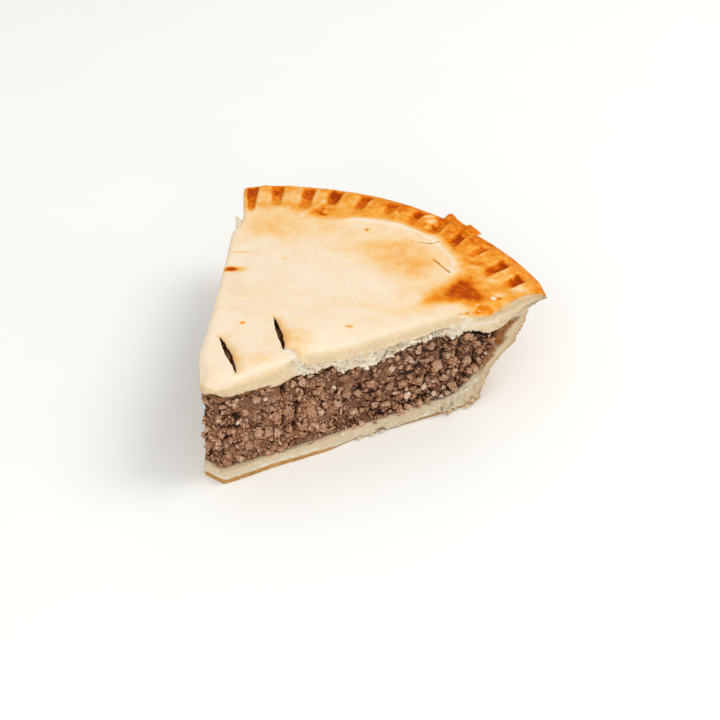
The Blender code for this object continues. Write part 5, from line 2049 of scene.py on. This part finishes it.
FLOOR_REACH = 1500.0
CAMERA_TURN = math.radians(33.9)
CAMERA_RISE = math.radians(36.0)
CAMERA_AWAY = 0.7244
CAMERA_LENS = 115.0
CAMERA_AIM = Vector((AXIS_X * MM + 0.0184, AXIS_Y * MM + 0.0584, 0.020))
SKY_STRENGTH = 0.74


def make_stage(colours):
    """Plain pale floor, soft studio light and the camera."""
    look = Finish("floor", 0.55)
    shade = look.spread(look.noise(0.05, 2.0), 0.3, 0.7)
    colour = look.mix(shade, colours.floor, scaled(colours.floor, 0.985))
    corners = [(x * FLOOR_REACH, y * FLOOR_REACH, 0.0)
               for x, y in ((-1, -1), (1, -1), (1, 1), (-1, 1))]
    floor_mesh = mesh_from("floor", corners, [(0, 1, 2, 3)], smooth=False)
    floor_mesh.materials.append(look.finished(colour))
    floor = link("floor", floor_mesh)

    scene = bpy.context.scene
    world = bpy.data.worlds.new("studio")
    scene.world = world
    world.use_nodes = True
    sky = world.node_tree.nodes["Background"]
    sky.inputs["Color"].default_value = (1.0, 1.0, 0.99, 1.0)
    sky.inputs["Strength"].default_value = SKY_STRENGTH

    aim = CAMERA_AIM
    right = Vector((math.cos(CAMERA_TURN), math.sin(CAMERA_TURN), 0.0))
    over = Vector((0.0, 0.0, 1.0))
    back = right.cross(over) * math.cos(CAMERA_RISE) + over * math.sin(CAMERA_RISE)
    up = back.cross(right)

    def lamp(name, spot, size, power, colour):
        light = bpy.data.lights.new(name, "AREA")
        light.shape = "DISK"
        light.size = size
        light.energy = power
        light.color = colour
        thing = bpy.data.objects.new(name, light)
        thing.location = spot
        thing.rotation_euler = (spot - aim).to_track_quat("Z", "Y").to_euler()
        scene.collection.objects.link(thing)

    lamp("key", aim + right * 0.55 + over * 0.85 - back * 0.15, 0.55, 3.3, (1.0, 0.985, 0.96))
    lamp("fill", aim + back * 0.9 - right * 0.15 - over * 0.15, 0.8, 2.2, (1.0, 0.995, 0.98))

    camera = bpy.data.cameras.new("camera")
    camera.lens = CAMERA_LENS
    camera.sensor_width = 36.0
    eye = bpy.data.objects.new("camera", camera)
    stand = Matrix((right, up, back)).transposed().to_4x4()
    stand.translation = aim + back * CAMERA_AWAY
    eye.matrix_world = stand
    scene.collection.objects.link(eye)
    scene.camera = eye
    scene.view_settings.view_transform = "Standard"


# ---- operators, panel and run ----

class PieOperator:
    """What the pie's operators share"""

    bl_options = {"REGISTER", "UNDO"}

    def execute(self, context):
        self.make(context.scene.pie_sizes, context.scene.pie_colours)
        return {"FINISHED"}


class PIE_OT_lid(PieOperator, bpy.types.Operator):
    """Make the lid crust with its rim, slits and break"""

    bl_idname = "pie.make_lid"
    bl_label = "Lid crust"

    def make(self, sizes, colours):
        make_lid(sizes, colours)


class PIE_OT_bottom(PieOperator, bpy.types.Operator):
    """Make the bottom crust with its base, wall and flange"""

    bl_idname = "pie.make_bottom"
    bl_label = "Bottom crust"

    def make(self, sizes, colours):
        make_bottom_crust(colours)


class PIE_OT_mince(PieOperator, bpy.types.Operator):
    """Make the mince: its packed core and what is strewn over the cuts"""

    bl_idname = "pie.make_mince"
    bl_label = "Meat filling"

    def make(self, sizes, colours):
        core = make_meat_core(colours)
        make_mince(core, sizes, colours)


class PIE_OT_gravy(PieOperator, bpy.types.Operator):
    """Make the set juice under the lid"""

    bl_idname = "pie.make_gravy"
    bl_label = "Gravy"

    def make(self, sizes, colours):
        make_gravy(colours)


class PIE_OT_flakes(PieOperator, bpy.types.Operator):
    """Make the torn flakes of skin on the lid"""

    bl_idname = "pie.make_flakes"
    bl_label = "Torn flakes"

    def make(self, sizes, colours):
        make_flakes(bpy.data.objects["lid_pastry"], colours)


class PIE_OT_crumbs(PieOperator, bpy.types.Operator):
    """Make the pastry crumbs on the torn edges, and the loose bits"""

    bl_idname = "pie.make_crumbs"
    bl_label = "Pastry crumbs"

    def make(self, sizes, colours):
        make_pastry_crumbs(bpy.data.objects["lid_pastry"],
                           bpy.data.objects["bottom_pastry"], sizes, colours)
        make_loose_bits(colours)


class PIE_OT_stage(PieOperator, bpy.types.Operator):
    """Make the floor, the lights and the camera"""

    bl_idname = "pie.make_stage"
    bl_label = "Stage"

    def make(self, sizes, colours):
        make_stage(colours)


OPERATORS = (PIE_OT_lid, PIE_OT_bottom, PIE_OT_mince, PIE_OT_gravy, PIE_OT_flakes,
             PIE_OT_crumbs, PIE_OT_stage)


class PIE_PT_panel(bpy.types.Panel):
    """Lists the pie's sizes, colours and pieces"""

    bl_label = "Meat pie slice"
    bl_idname = "PIE_PT_panel"
    bl_space_type = "VIEW_3D"
    bl_region_type = "UI"
    bl_category = "Meat pie"

    def draw(self, context):
        for group in (context.scene.pie_sizes, context.scene.pie_colours):
            box = self.layout.box()
            for name in group.__annotations__:
                box.prop(group, name)
        for operator in OPERATORS:
            self.layout.operator(operator.bl_idname)


CLASSES = (PieSizes, PieColours, *OPERATORS, PIE_PT_panel)


def register():
    """Registers the classes and the scene's settings."""
    for kind in CLASSES:
        bpy.utils.register_class(kind)
    bpy.types.Scene.pie_sizes = PointerProperty(type=PieSizes)
    bpy.types.Scene.pie_colours = PointerProperty(type=PieColours)


def unregister():
    """Undoes register."""
    del bpy.types.Scene.pie_colours
    del bpy.types.Scene.pie_sizes
    for kind in reversed(CLASSES):
        bpy.utils.unregister_class(kind)


def main():
    """Builds every piece in order."""
    register()
    for kind in OPERATORS:
        group, name = kind.bl_idname.split(".")
        getattr(getattr(bpy.ops, group), name)()


if __name__ == "__main__":
    main()
